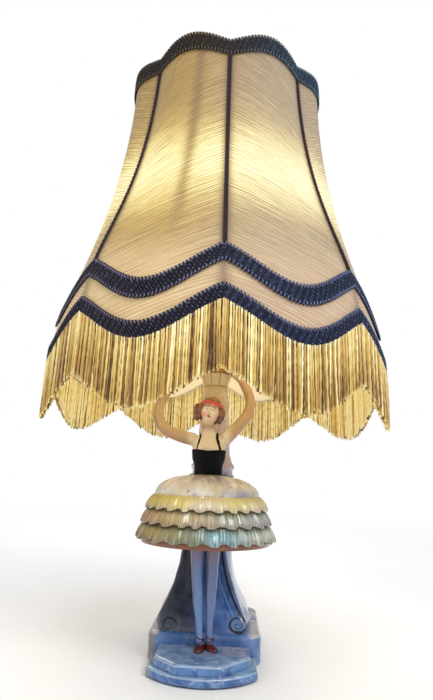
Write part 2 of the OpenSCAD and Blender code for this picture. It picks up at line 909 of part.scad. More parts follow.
module arm(side) {
  path = arm_path(side);
  rows = 14;
  girth = [
    [0, arm_d], [0.25, arm_d], [0.45, forearm_d], [0.62, forearm_d],
    [0.84, wrist_d], [0.93, wrist_d * 1.1], [1, wrist_d * 0.7]
  ];
  flat = [[0, 1], [0.8, 1], [0.94, 0.6], [1, 0.5]];
  color("navajowhite")
    skin([
      for (k = [0 : rows])
        let (t = k / rows, d = eased(girth, t))
        cross_ring(bezier(path, t), bezier_slope(path, t), d / 2, d / 2 * eased(flat, t), 10)
    ]);
}

module left_arm() {
  arm(1);
}

module right_arm() {
  arm(-1);
}

// ---------------------------------------------------------------- fittings

module stem_tube() {
  color("goldenrod")
    tube(stem_low, holder_z + stem_in_cap - stem_low, stem_d / 2, stem_d / 2 - stem_wall);
}

module hex_nut(z) {
  translate([0, 0, z])
    difference() {
      cylinder(h = nut_h, d = nut_flats / cos(30), $fn = 6);
      translate([0, 0, -past])
        cylinder(h = nut_h + 2 * past, r = core_bore_r);
    }
}

module foot_washer() {
  color("silver")
    tube(washer_z, washer_t, washer_d / 2, core_bore_r);
}

module foot_nut() {
  color("silver")
    hex_nut(foot_nut_z);
}

module lock_nut() {
  color("goldenrod")
    hex_nut(lock_z);
}

module cord_bush() {
  color("dimgray")
    translate([0, block_back, inlet_z])
      rotate([90, 0, 0])
        difference() {
          union() {
            translate([0, 0, -bush_head_t])
              cylinder(h = bush_head_t, d = bush_head_d);
            cylinder(h = block_wall, d = bush_d - 2 * running_fit);
          }
          translate([0, 0, -bush_head_t - past])
            cylinder(h = block_wall + bush_head_t + 2 * past, d = bush_bore);
        }
}

module brass_cap() {
  r = brass_cap_d / 2;
  color("gold")
    turned(capital_top, brass_cap_h, [[0, r], [0.25, r], [1, nut_flats / 2 + 1]], core_bore_r);
}

module holder_cap() {
  cap_neck_h = holder_cap_h * 0.32;
  cap_dome_h = holder_cap_h * 0.4;
  neck_r = stem_d / 2 + 3;
  r = holder_d / 2;
  bend = 8;
  shoulder = [
    for (i = [0 : bend])
      let (a = 90 * i / bend)
      [neck_r + (r - neck_r) * sin(a), cap_neck_h + cap_dome_h * (1 - cos(a))]
  ];
  inner = [for (p = shoulder) [max(p[0] - holder_wall, core_bore_r), p[1] + holder_wall]];
  color("goldenrod")
    translate([0, 0, holder_z])
      rotate_extrude($fn = 64)
        polygon(concat(
          [[core_bore_r, 0], [neck_r, 0]], shoulder, [[r, holder_cap_h], [r - holder_wall, holder_cap_h]],
          [for (i = [bend : -1 : 0]) inner[i]], [[core_bore_r, inner[0][1]]]
        ));
}

module holder_body() {
  r = holder_d / 2;
  color("gold")
    difference() {
      union() {
        tube(body_z, holder_body_h, r, r - holder_wall);
        tube(body_z + flange_up, flange_t, flange_d / 2, r - holder_wall);
      }
      translate([-r - past, 0, bar_z])
        rotate([0, 90, 0])
          cylinder(h = 2 * (r + past), r = bar_d / 2 + running_fit);
    }
}

module holder_core() {
  r = holder_d / 2 - holder_wall - seat_gap;
  z = bar_z + bar_d / 2 + 1;
  floor_z = holder_top - socket_depth;
  color("saddlebrown")
    difference() {
      union() {
        translate([0, 0, z])
          cylinder(h = holder_top - z, r = r);
        tube(z, 2, holder_d / 2 - holder_wall, r - past);
      }
      translate([0, 0, floor_z])
        cylinder(h = socket_depth + past, r = socket_r);
    }
}

module centre_contact() {
  floor_z = holder_top - socket_depth;
  color("gold")
    translate([0, 0, floor_z])
      cylinder(h = bulb_z - floor_z - seat_gap, d = 8);
}

module switch_bar() {
  color("black")
    translate([-(bar_l + bar_travel) / 2, 0, bar_z])
      rotate([0, 90, 0])
        cylinder(h = bar_l, d = bar_d);
}

module shade_ring() {
  z = plate_z + plate_t + seat_gap;
  color("saddlebrown")
    difference() {
      tube(z, ring_h, ring_d / 2, holder_d / 2 + running_fit);
      for (i = [0 : ring_notches - 1])
        rotate(360 * i / ring_notches)
          translate([ring_d / 2, 0, z - past])
            cylinder(h = ring_h + 2 * past, r = 1, $fn = 16);
    }
}

module bulb_cap() {
  r = bulb_cap_d / 2;
  color("silver")
    translate([0, 0, bulb_z])
      rotate_extrude($fn = 64)
        polygon([
          [0, 0], [4, 0], [5, 2.5], [r - 1.5, 5], [r, 6.5], [r, bulb_cap_h], [r - 1, bulb_cap_h],
          [r - 1, 7], [0, 7]
        ]);
}

// Outline of the glass, drawn in by a distance: neck, flare and globe
function glass_outline(by) =
  let (
    r = bulb_d / 2,
    c = bulb_l - r,
    neck = bulb_cap_d / 2 - 1.2,
    low = bulb_cap_h - 12,
    meet = -40
  )
  concat(
    [[neck - by, low], [neck - by, bulb_cap_h + 4]],
    [
      for (t = [0.3, 0.6, 0.8])
        [lerp(neck, r * cos(meet), t * t * (3 - 2 * t)) - by, lerp(bulb_cap_h + 4, c + r * sin(meet), t)]
    ],
    [for (a = [meet : 10 : 90]) [(r - by) * cos(a), c + (r - by) * sin(a)]]
  );

module bulb_glass() {
  outer = glass_outline(0);
  inner = glass_outline(glass_t);
  n = len(inner);
  color("white")
    translate([0, 0, bulb_z])
      rotate_extrude($fn = 64)
        polygon(concat(outer, [for (i = [n - 1 : -1 : 0]) inner[i]]));
}

// ---------------------------------------------------------------- shade carrier

module carrier_plate() {
  color("gold")
    tube(plate_z, plate_t, plate_d / 2, holder_d / 2 + seat_gap);
}

// Wires that spread out from the plate, bend up past the bulb and end above the hoop
module carrier_uprights() {
  low = plate_z + plate_t;
  bend_h = carrier_h * 0.44;
  path = [
    [upright_foot_r, 0, low], [peg_r, 0, low + bend_h * 0.38],
    [peg_r, 0, low + bend_h * 0.22], [peg_r, 0, low + bend_h]
  ];
  rows = 8;
  r = upright_wire / 2;
  bent = [
    for (i = [0 : rows])
      cross_ring(bezier(path, i / rows), bezier_slope(path, i / rows), r, r, 8)
  ];
  tip = cross_ring([peg_r, 0, hoop_z + peg_h], [0, 0, 1], r, r, 8);
  color("gold")
    for (a = [upright_turn : 90 : upright_turn + 270])
      rotate(shade_turn + a)
        skin(concat(bent, [tip]));
}

module carrier_hoop() {
  color("gold")
    translate([0, 0, hoop_z])
      rotate_extrude($fn = 96)
        translate([hoop_r, 0])
          circle(d = hoop_wire);
}

// ---------------------------------------------------------------- shade

// Place along the rib's curve at a depth below the upper edge, by halving
function rib_at(d, lo = 0, hi = 1, n = 16) =
  let (mid = (lo + hi) / 2)
  n == 0 ? mid :
  bezier(rib_curve, mid)[1] < d ? rib_at(d, mid, hi, n - 1) : rib_at(d, lo, mid, n - 1);

function rib_r(d) = bezier(rib_curve, rib_at(d))[0];

// Bulge across a panel: 0 on the ribs and 1 midway between them
function bulge(k) =
  let (s = (k % steps_per_panel) / steps_per_panel)
  lerp(4 * s * (1 - s), (1 - cos(360 * s)) / 2, rib_flat);

function panel_bow(d) = lerp(bow_top, bow_low, clip(d / shade_h, 0, 1));
function panel_rise(d) = lerp(arch_top, -drop_low, clip(d / mid_depth, 0, 1));

// Point of the shade on column k, at depth d below the upper edge, off millimetres outside the cover
function shade_pt(k, d, off) =
  let (
    a = shade_turn - 90 + 360 * k / columns,
    r = rib_r(d) + panel_bow(d) * bulge(k) + off,
    z = shade_top - d + panel_rise(d) * bulge(k)
  )
  [r * cos(a), r * sin(a), z];

// Band of the shade between two depths, from one offset to another, in the given number of rows
module band(d_top, d_low, off_in, off_out, rows = 1) {
  down = [for (i = [0 : rows]) lerp(d_top, d_low, i / rows)];
  up = [for (i = [rows : -1 : 0]) lerp(d_top, d_low, i / rows)];
  hoop_skin([
    for (k = [0 : columns - 1])
      concat([for (d = down) shade_pt(k, d, off_in)], [for (d = up) shade_pt(k, d, off_out)])
  ]);
}

module cover() {
  color("bisque")
    band(0, shade_h, -cover_t, 0, 12);
}

module lining() {
  color("white")
    band(ring_depths[0] + lining_drop, ring_depths[2], lining_off - lining_t, lining_off, 7);
}

module wire_ring(d) {
  n = 5;
  hoop_skin([
    for (k = [0 : columns - 1])
      [
        for (i = [0 : n - 1])
          let (a = 360 * i / n)
          shade_pt(k, d, wire_off + ring_wire / 2 * cos(a)) + [0, 0, ring_wire / 2 * sin(a)]
      ]
  ]);
}

module frame_rings() {
  color("silver")
    for (d = ring_depths)
      wire_ring(d);
}

// Rib wires run from ring to ring and are welded to them
module frame_ribs() {
  sink = ring_wire / 2 - 0.4;
  spans = [
    [ring_depths[0] + sink, ring_depths[1] - sink, 9],
    [ring_depths[1] + sink, ring_depths[2] - sink, 2]
  ];
  color("silver")
    for (rib = [0 : panels - 1], span = spans)
      skin([
        for (i = [0 : span[2]])
          let (
            d = lerp(span[1], span[0], i / span[2]),
            c = shade_pt(rib * steps_per_panel, d, -(cover_t + layer_gap + rib_wire / 2)),
            radial = unit([c[0], c[1], 0]),
            side = cross([0, 0, 1], radial)
          )
          [
            for (j = [0 : 5])
              c + rib_wire / 2 * (cos(60 * j) * radial + sin(60 * j) * side)
          ]
      ]);
}

module fitter() {
  r = fitter_wire / 2;
  wire_r = rib_r(ring_depths[0]) + wire_off;
  end = [wire_r - ring_wire / 2 + 0.5, 0, shade_top - ring_depths[0]];
  color("silver") {
    translate([0, 0, fitter_z])
      rotate_extrude($fn = 96)
        translate([hoop_r, 0])
          circle(r = r);
    for (a = [0 : 90 : 270])
      rotate(shade_turn + a)
        rod([hoop_r, 0, fitter_z], end, r * 0.8);
  }
}

// Rise of the cloth across half the width of the gimp, beside a rib
function edge_rise(d) =
  let (r = rib_r(d), next_r = r + panel_bow(d) * bulge(1), a = 360 / columns)
  max(0, piping_w / 2 * (next_r * cos(a) - r) / (next_r * sin(a)));

// Flat strip of gimp over a rib between two depths
module gimp(rib, d_top, d_low, rows) {
  skin([
    for (i = [0 : rows])
      let (
        d = lerp(d_low, d_top, i / rows),
        c = shade_pt(rib * steps_per_panel, d, layer_gap + edge_rise(d)),
        radial = unit([c[0], c[1], 0]),
        side = cross([0, 0, 1], radial)
      )
      [
        for (p = [[0, -1], [0.75, -0.75], [1, 0], [0.75, 0.75], [0, 1]])
          c + piping_t * p[0] * radial + piping_w / 2 * p[1] * side
      ]
  ]);
}

// Drop of a band's edge across half the width of the gimp, beside a rib
function edge_drop(d) =
  let (a = shade_pt(0, d, 0), b = shade_pt(1, d, 0))
  piping_w / 2 * (a[2] - b[2]) / norm([a[0] - b[0], a[1] - b[1]]);

module rib_gimp() {
  half = braid_w / 2 + layer_gap;
  color("indigo")
    for (rib = [0 : panels - 1]) {
      gimp(rib, top_braid_w + layer_gap, mid_depth - half, 9);
      gimp(rib, mid_depth + half + edge_drop(mid_depth), shade_h - braid_w - layer_gap, 1);
    }
}

module top_braid() {
  color("midnightblue")
    band(0, top_braid_w, layer_gap, layer_gap + braid_t);
}

module mid_braid() {
  color("midnightblue")
    band(mid_depth - braid_w / 2, mid_depth + braid_w / 2, layer_gap, layer_gap + braid_t);
}

module low_braid() {
  color("midnightblue")
    band(shade_h - braid_w, shade_h, layer_gap, layer_gap + braid_t);
}

module fringe() {
  color("darkgoldenrod")
    hoop_skin([
      for (k = [0 : columns - 1])
        let (
          start = shade_h + seat_gap,
          in = shade_pt(k, start, layer_gap), out = shade_pt(k, start, layer_gap + fringe_t),
          lean = fringe_lean * unit([in[0], in[1], 0]), drop = [0, 0, seat_gap - fringe_l]
        )
        [in, in + lean + drop, out + lean + drop, out]
    ]);
}

felt_pad();
foot_block();
tier_low();
tier_top();
pedestal();
column_foot();
column_shaft();
capital();
bead_ring();
left_leg();
right_leg();
left_shoe();
right_shoe();
skirt();
ruffle_top();
ruffle_mid();
ruffle_hem();
bodice();
torso();
left_arm();
right_arm();
head();
hair();
headband();
stem_tube();
foot_washer();
foot_nut();
cord_bush();
brass_cap();
lock_nut();
holder_cap();
holder_body();
holder_core();
centre_contact();
switch_bar();
shade_ring();
bulb_cap();
bulb_glass();
carrier_plate();
carrier_uprights();
carrier_hoop();
fitter();
frame_rings();
frame_ribs();
cover();
lining();
rib_gimp();
top_braid();
mid_braid();
low_braid();
fringe();
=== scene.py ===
"""Looks of a figural table lamp: a glazed dancer before a scrolled pedestal, under a fringed bell shade.

Lengths are millimetres until a mesh is made. +Z is up, the dancer faces -Y and her left is +X.
"""

import json
import logging
import math
from dataclasses import dataclass
from enum import Enum
from typing import Callable, Optional, Sequence, Union

import bmesh
import bpy
import numpy as np
from mathutils import Matrix, Vector
from mathutils.bvhtree import BVHTree


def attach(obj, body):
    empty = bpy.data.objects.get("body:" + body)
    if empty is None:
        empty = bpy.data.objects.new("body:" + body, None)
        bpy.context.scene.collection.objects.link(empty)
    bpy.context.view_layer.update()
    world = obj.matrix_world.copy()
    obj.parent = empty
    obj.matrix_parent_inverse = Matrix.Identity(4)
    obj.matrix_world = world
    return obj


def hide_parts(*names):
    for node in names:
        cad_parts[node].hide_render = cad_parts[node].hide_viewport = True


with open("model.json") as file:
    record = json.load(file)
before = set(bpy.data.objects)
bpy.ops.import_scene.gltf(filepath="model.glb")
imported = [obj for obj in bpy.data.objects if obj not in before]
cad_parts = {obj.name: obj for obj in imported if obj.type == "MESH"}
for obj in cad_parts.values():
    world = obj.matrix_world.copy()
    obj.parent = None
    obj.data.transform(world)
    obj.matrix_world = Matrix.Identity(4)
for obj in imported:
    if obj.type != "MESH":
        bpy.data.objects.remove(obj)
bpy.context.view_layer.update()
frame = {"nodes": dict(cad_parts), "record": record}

log = logging.getLogger("table_lamp")
MM = 0.001
TURN = 2 * math.pi
Chip = tuple[int, int, int]
Colour = tuple[float, float, float, float]
Stops = tuple[tuple[float, Chip], ...]
Points = np.ndarray
Numbers = Union[float, np.ndarray]
Pair = tuple[float, float]
Triple = tuple[float, float, float]
Rows = Sequence[Sequence[float]]
Mesh, Object, Material = bpy.types.Mesh, bpy.types.Object, bpy.types.Material


# ---- numbers and curves


def shade_of(red: int, green: int, blue: int) -> Colour:
    """Scene-linear colour of a paint chip.

    Args:
        red, green, blue: the chip as it shows on a screen, 0 to 255.

    Returns:
        The colour with an alpha of 1.
    """
    parts = [v / 255 for v in (red, green, blue)]
    linear = [v / 12.92 if v <= 0.04045 else ((v + 0.055) / 1.055) ** 2.4 for v in parts]
    return (*linear, 1.0)


def lerp(a: Numbers, b: Numbers, t: Numbers) -> Numbers:
    """Value at share t of the way from a to b; all three may be arrays."""
    return a + (b - a) * t


def smooth(t: Numbers) -> Numbers:
    """Smooth step of t, held between 0 and 1."""
    t = np.clip(t, 0.0, 1.0)
    return t * t * (3 - 2 * t)


def eased(rows: Rows, t: Numbers) -> Numbers:
    """Value at t of a table of places and values, eased between its rows.

    Args:
        rows: (place, value) pairs in rising order of place.
        t: one place or an array of them.

    Returns:
        The value or values there.
    """
    places, values = np.array(rows, float).T
    t = np.asarray(t, float)
    i = np.clip(np.searchsorted(places, t, side="right") - 1, 0, len(places) - 2)
    s = smooth((t - places[i]) / (places[i + 1] - places[i]))
    return lerp(values[i], values[i + 1], s)


def bump_at(x: Numbers, centre: float, width: float) -> Numbers:
    """Bell of height 1 round a centre."""
    return np.exp(-(((x - centre) / width) ** 2))


def through(points: Rows, count: int) -> Points:
    """Even curve through points.

    Args:
        points: the places that the curve passes.
        count: how many points to return.

    Returns:
        An array of count points, evenly spaced along the curve.
    """
    p = np.array(points, float)
    p = np.concatenate([p[:1], p, p[-1:]])
    t = np.linspace(0, 1, 24, endpoint=False)[:, None]
    fine = [0.5 * (2 * b + (c - a) * t + (2 * a - 5 * b + 4 * c - d) * t**2
                   + (3 * b - a - 3 * c + d) * t**3) for a, b, c, d in zip(p, p[1:], p[2:], p[3:])]
    return evenly(np.concatenate([*fine, p[-1:]]), count)


def evenly(path: Points, count: int, both_ends: bool = True) -> Points:
    """A path's points, spaced evenly along it.

    Args:
        path: the points of the path.
        count: how many points to return.
        both_ends: whether the last point is returned too.

    Returns:
        An array of count points.
    """
    length = np.concatenate([[0], np.cumsum(np.linalg.norm(np.diff(path, axis=0), axis=1))])
    at = np.linspace(0, length[-1], count, endpoint=both_ends)
    return np.stack([np.interp(at, length, path[:, i]) for i in range(path.shape[1])], 1)


def unit(v: Points) -> Points:
    """Vectors of length 1 along the last axis."""
    return v / np.maximum(np.linalg.norm(v, axis=-1, keepdims=True), 1e-12)


def ring(count: int) -> Points:
    """Angles of count even steps round a circle, in radians."""
    return np.arange(count) * TURN / count


def round_axis(r: Numbers, a: Numbers, z: Numbers, x: Numbers = 0.0, y: Numbers = 0.0) -> Points:
    """Points at radii, angles and heights round an upright axis."""
    return np.stack(np.broadcast_arrays(x + r * np.cos(a), y + r * np.sin(a), z), -1)


def corner_plan(corners: Rows, radii: Sequence[float], arc: int, side: int) -> Points:
    """Outline of a convex plan with rounded corners.

    Args:
        corners: (x, y) places, counterclockwise.
        radii: the rounding of each corner.
        arc: points on each rounding.
        side: points between two roundings.

    Returns:
        An array of (x, y) points, as many for any corners and radii.
    """
    p, arcs = np.array(corners, float), []
    for here, before, after, r in zip(p, np.roll(p, 1, 0), np.roll(p, -1, 0), radii):
        back, on = unit(before - here), unit(after - here)
        half = math.acos(back @ on) / 2
        centre = here + unit(back + on) * r / math.sin(half)
        a, b = (math.atan2(*(here + way * r / math.tan(half) - centre)[::-1]) for way in (back, on))
        angles = a + np.linspace(0, (b - a) % TURN, arc)
        arcs.append(centre + r * np.stack([np.cos(angles), np.sin(angles)], 1))
    share = (np.arange(1, side + 1) / (side + 1))[:, None]
    sides = [lerp(one[-1], two[0], share) for one, two in zip(arcs, arcs[1:] + arcs[:1])]
    return np.concatenate([part for pair in zip(arcs, sides) for part in pair])


def drawn_in(plan: Points, by: float) -> Points:
    """An outline moved inwards by a distance, point by point."""
    step = np.roll(plan, -1, 0) - np.roll(plan, 1, 0)
    inward = unit(np.stack([-step[:, 1], step[:, 0]], 1))
    return plan + by * inward


def waves(angles: Points, seed: int, orders: Sequence[int]) -> Points:
    """Smooth uneven wave round a circle, between about -1 and 1.

    Args:
        angles: where it is wanted, in radians.
        seed: picks one wave.
        orders: how many times each part of it goes round.

    Returns:
        The wave at each angle.
    """
    rng = np.random.default_rng(seed)
    parts = [rng.uniform(0.5, 1) * np.cos(k * angles + rng.uniform(0, TURN)) for k in orders]
    return sum(parts) / (0.75 * len(orders))


# ---- meshes


def carry(mesh: Mesh, name: str, values: Points) -> None:
    """Stores a value at each point of a mesh, which a finish may read."""
    made = mesh.attributes.new(name, "FLOAT", "POINT")
    made.data.foreach_set("value", values.astype(np.float32).ravel())


class Draft:
    """Points and faces of one piece before it becomes an object.

    Each point also carries a tone from 0 to 1, which a finish may read to vary its colour.
    """

    GROOVE = 0.28

    def __init__(self) -> None:
        """Starts an empty draft."""
        self.points: list[Points] = []
        self.quads: list[np.ndarray] = []
        self.fans: list[np.ndarray] = []
        self.tones: list[Points] = []
        self.count = 0

    def add(self, points: Points, tone: Numbers) -> int:
        """Adds points.

        Args:
            points: an array whose last axis is x, y, z.
            tone: one tone, or one for each point.

        Returns:
            The number of the first point added.
        """
        flat = np.asarray(points, float).reshape(-1, 3)
        first, self.count = self.count, self.count + len(flat)
        self.points.append(flat)
        self.tones.append(np.broadcast_to(np.ravel(tone), len(flat)).astype(float))
        return first

    def grid(self, points: Points, loop_rows: bool = False, ends: bool = False,
             tone: Numbers = 0.0) -> "Draft":
        """Adds a skin over closed rows of points.

        Args:
            points: an array of rows by columns by 3.
            loop_rows: whether the last row joins the first.
            ends: whether the first and last rows are capped.
            tone: one tone, or one for each point.

        Returns:
            This draft.
        """
        rows, cols = points.shape[:2]
        first = self.add(points, tone)
        r = np.arange(rows if loop_rows else rows - 1)[:, None]
        c = np.arange(cols)[None, :]
        r2, c2 = (r + 1) % rows, (c + 1) % cols
        quads = (r * cols + c, r * cols + c2, r2 * cols + c2, r2 * cols + c)
        self.quads.append(first + np.stack(quads, -1).reshape(-1, 4))
        if ends:
            here = np.arange(cols)
            after = (here + 1) % cols
            for row, one, other in ((0, after, here), (rows - 1, here, after)):
                mid = self.add(points[row].mean(0), self.tones[-1][0])
                base = first + row * cols
                self.fans.append(np.stack([base + one, base + other, np.full(cols, mid)], 1))
        return self

    def tube(self, path: Points, radius: Numbers, sides: int = 8, loop: bool = False,
             flat: float = 1.0, up: Union[Sequence[float], Points] = (0, 0, 1),
             tone: Numbers = 0.0, twist: float = 0.0) -> "Draft":
        """Adds a round or flattened tube along a path.

        Args:
            path: its centre line.
            radius: one radius, or one for each point of the path.
            sides: points round the tube.
            loop: whether the path closes on itself.
            flat: thickness over width; the width lies across up.
            up: one direction, or one for each point, that the thin side faces.
            tone: one tone, or one for each point of the path.
            twist: turns along the whole path of the two strands that it is twisted from.

        Returns:
            This draft.
        """
        n = len(path)
        along = unit(np.roll(path, -1, 0) - np.roll(path, 1, 0) if loop else np.gradient(path, axis=0))
        across = unit(np.cross(along, np.broadcast_to(np.asarray(up, float), path.shape)))
        top = np.cross(across, along)
        a = ring(sides)[None, :, None]
        r = np.broadcast_to(np.asarray(radius, float), n)[:, None, None]
        if twist:
            spin = np.linspace(0, twist * TURN, n)[:, None, None]
            r = r * (1 + self.GROOVE * np.cos(2 * (a - spin)))
        skin = path[:, None] + r * (np.cos(a) * across[:, None] + flat * np.sin(a) * top[:, None])
        tones = np.repeat(np.broadcast_to(np.asarray(tone, float), n), sides)
        return self.grid(skin, loop_rows=loop, ends=not loop, tone=tones)

    def ball(self, centre: Sequence[float], radii: Sequence[float], n: int = 16,
             turn: Optional[Matrix] = None) -> "Draft":
        """Adds an egg with three half-axes, turned by a matrix about its centre."""
        rows, a = np.linspace(-0.5, 0.5, n // 2 + 1)[1:-1] * math.pi, ring(n)
        egg = round_axis(np.cos(rows)[:, None], a, np.sin(rows)[:, None]) * np.array(radii, float)
        if turn is not None:
            egg = egg @ np.array(turn.to_3x3()).T
        return self.grid(egg + np.array(centre, float), ends=True)

    def mesh(self, name: str) -> Mesh:
        """Makes the Blender mesh, in metres, with the tone attribute."""
        points = np.concatenate(self.points) * MM
        quads = np.concatenate(self.quads)
        fans = np.concatenate([np.zeros((0, 3), int), *self.fans])
        mesh = bpy.data.meshes.new(name)
        mesh.vertices.add(len(points))
        mesh.vertices.foreach_set("co", points.astype(np.float32).ravel())
        loops = np.concatenate([quads.ravel(), fans.ravel()])
        totals = np.concatenate([np.full(len(quads), 4), np.full(len(fans), 3)])
        mesh.loops.add(len(loops))
        mesh.loops.foreach_set("vertex_index", loops.astype(np.int32))
        mesh.polygons.add(len(totals))
        mesh.polygons.foreach_set("loop_start", (np.cumsum(totals) - totals).astype(np.int32))
        mesh.polygons.foreach_set("loop_total", totals.astype(np.int32))
        mesh.update(calc_edges=True)
        carry(mesh, "tone", np.concatenate(self.tones))
        return mesh


def into_scene(name: str, data: bpy.types.ID) -> Object:
    """A new object made of some data and linked into the scene."""
    obj = bpy.data.objects.new(name, data)
    bpy.context.scene.collection.objects.link(obj)
    return obj


def faced_outwards(mesh: Mesh) -> None:
    """Turns every closed part of a mesh so that its faces look outwards."""
    work = bmesh.new()
    work.from_mesh(mesh)
    bmesh.ops.recalc_face_normals(work, faces=work.faces)
    work.to_mesh(mesh)
    work.free()


def piece(name: str, made: Union[Draft, Mesh], finish: "Finish", slot: str, *nodes: str,
          body: str = "root", outwards: bool = True) -> Object:
    """Turns a draft or a mesh into a finished piece on its body.

    Args:
        name: the piece's name.
        made: its shape.
        finish: its finish.
        slot: the record's slot; not used.
        nodes: the CAD nodes that it stands for.
        body: the body that it rides on.
        outwards: whether the faces still have to be turned outwards.

    Returns:
        The new object.
    """
    mesh = made.mesh(name) if isinstance(made, Draft) else made
    if outwards:
        faced_outwards(mesh)
    mesh.polygons.foreach_set("use_smooth", np.ones(len(mesh.polygons), bool))
    obj = into_scene(name, mesh)
    mesh.materials.append(finish.material())
    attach(obj, body)
    if nodes:
        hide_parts(*nodes)
    log.info("%s: %d points on %s", name, len(mesh.vertices), body)
    return obj


def fused(draft: Draft, name: str, voxel: float, rounds: int) -> Mesh:
    """Overlapping parts of a draft as one smooth skin.

    Args:
        draft: closed parts that overlap.
        name: the mesh's name.
        voxel: size of the finest detail that stays, in millimetres.
        rounds: rounds of smoothing.

    Returns:
        The fused mesh.
    """
    mesh = draft.mesh(name)
    faced_outwards(mesh)
    obj = into_scene("work", mesh)
    remesh = obj.modifiers.new("fuse", "REMESH")
    remesh.mode, remesh.voxel_size = "VOXEL", voxel * MM
    soften = obj.modifiers.new("soften", "SMOOTH")
    soften.factor, soften.iterations = 0.5, rounds
    made = bpy.data.meshes.new_from_object(obj.evaluated_get(bpy.context.evaluated_depsgraph_get()))
    bpy.data.objects.remove(obj)
    bpy.data.meshes.remove(mesh)
    return made


class Surface:
    """A finished piece's surface, which painted lines and small trim are laid on."""

    def __init__(self, obj: Object) -> None:
        """Reads the object's shape as it shows."""
        shown = obj.evaluated_get(bpy.context.evaluated_depsgraph_get())
        mesh = shown.to_mesh()
        self.tree = BVHTree.FromPolygons(
            [v.co.copy() for v in mesh.vertices], [tuple(p.vertices) for p in mesh.polygons]
        )
        shown.to_mesh_clear()

    def under(self, points: Points, direction: Sequence[float],
              reach: float) -> tuple[Points, Points]:
        """Drops points onto the surface.

        Args:
            points: where they would lie.
            direction: the way that they drop.
            reach: how far back each drop starts, in millimetres.

        Returns:
            The points on the surface and the surface's normals there.
        """
        way = Vector(direction).normalized()
        places, normals = [], []
        for p in points:
            start = Vector(p) * MM - way * reach * MM
            hit, normal, _, _ = self.tree.ray_cast(start, way)
            if hit is None:
                hit, normal, _, _ = self.tree.find_nearest(Vector(p) * MM)
            if normal.dot(way) > 0:
                normal = -normal
            places.append(np.array(hit) / MM)
            normals.append(np.array(normal))
        return np.array(places), np.array(normals)


# ---- materials


def tint(colour: "Paint") -> "Paint":
    """A paint chip as a linear colour; anything else stays as it is."""
    return shade_of(*colour) if isinstance(colour, tuple) and len(colour) == 3 else colour


def arithmetic(operation: str, swapped: bool = False) -> Callable[["Wire", "Value"], "Wire"]:
    """A method of Wire that adds a Math node.

    Args:
        operation: what the node works out.
        swapped: whether the other value comes first in it.

    Returns:
        The method.
    """

    def method(wire: "Wire", other: "Value") -> "Wire":
        """Adds the node; see arithmetic."""
        return wire.bench.math(operation, *((other, wire) if swapped else (wire, other)))

    return method


class Wire:
    """Output of a shader node, with arithmetic."""

    __add__ = __radd__ = arithmetic("ADD")
    __sub__, __rsub__ = arithmetic("SUBTRACT"), arithmetic("SUBTRACT", True)
    __mul__ = __rmul__ = arithmetic("MULTIPLY")
    __truediv__, __rtruediv__ = arithmetic("DIVIDE"), arithmetic("DIVIDE", True)
    __pow__ = arithmetic("POWER")

    def __init__(self, bench: "Bench", socket: bpy.types.NodeSocket) -> None:
        """Holds one output socket and the bench that it belongs to."""
        self.bench = bench
        self.socket = socket

    def __abs__(self) -> "Wire":
        """Size without sign."""
        return self.bench.math("ABSOLUTE", self)

    def rise(self, low: float, high: float) -> "Wire":
        """Smooth step from 0 at low to 1 at high."""
        return self.bench.wire("MapRange", {"interpolation_type": "SMOOTHSTEP"},
                               {0: self, 1: low, 2: high})

    def hill(self, centre: float, width: float) -> "Wire":
        """Hill of height 1 at a centre that falls to 0 at a width from it."""
        return abs(self - centre).rise(width, 0.0)

    def split(self) -> tuple["Wire", "Wire", "Wire"]:
        """The three parts of a vector."""
        made = self.bench.node("SeparateXYZ", values={0: self})
        return tuple(Wire(self.bench, made.outputs[i]) for i in range(3))

    def scaled(self, x: float, y: float, z: float) -> "Wire":
        """A vector with each part multiplied."""
        return self.bench.wire("VectorMath", {"operation": "MULTIPLY"}, {0: self, 1: (x, y, z)})

    def noise(self, scale: float, detail: float = 3.0, roughness: float = 0.5,
              distortion: float = 0.0) -> "Wire":
        """Soft random value from 0 to 1 over a vector; scale is in features per millimetre."""
        return self.bench.wire("TexNoise", None, {
            "Vector": self, "Scale": scale, "Detail": detail, "Roughness": roughness,
            "Distortion": distortion})


Value = Union[Wire, float]
Paint = Union[Wire, Colour, Chip]


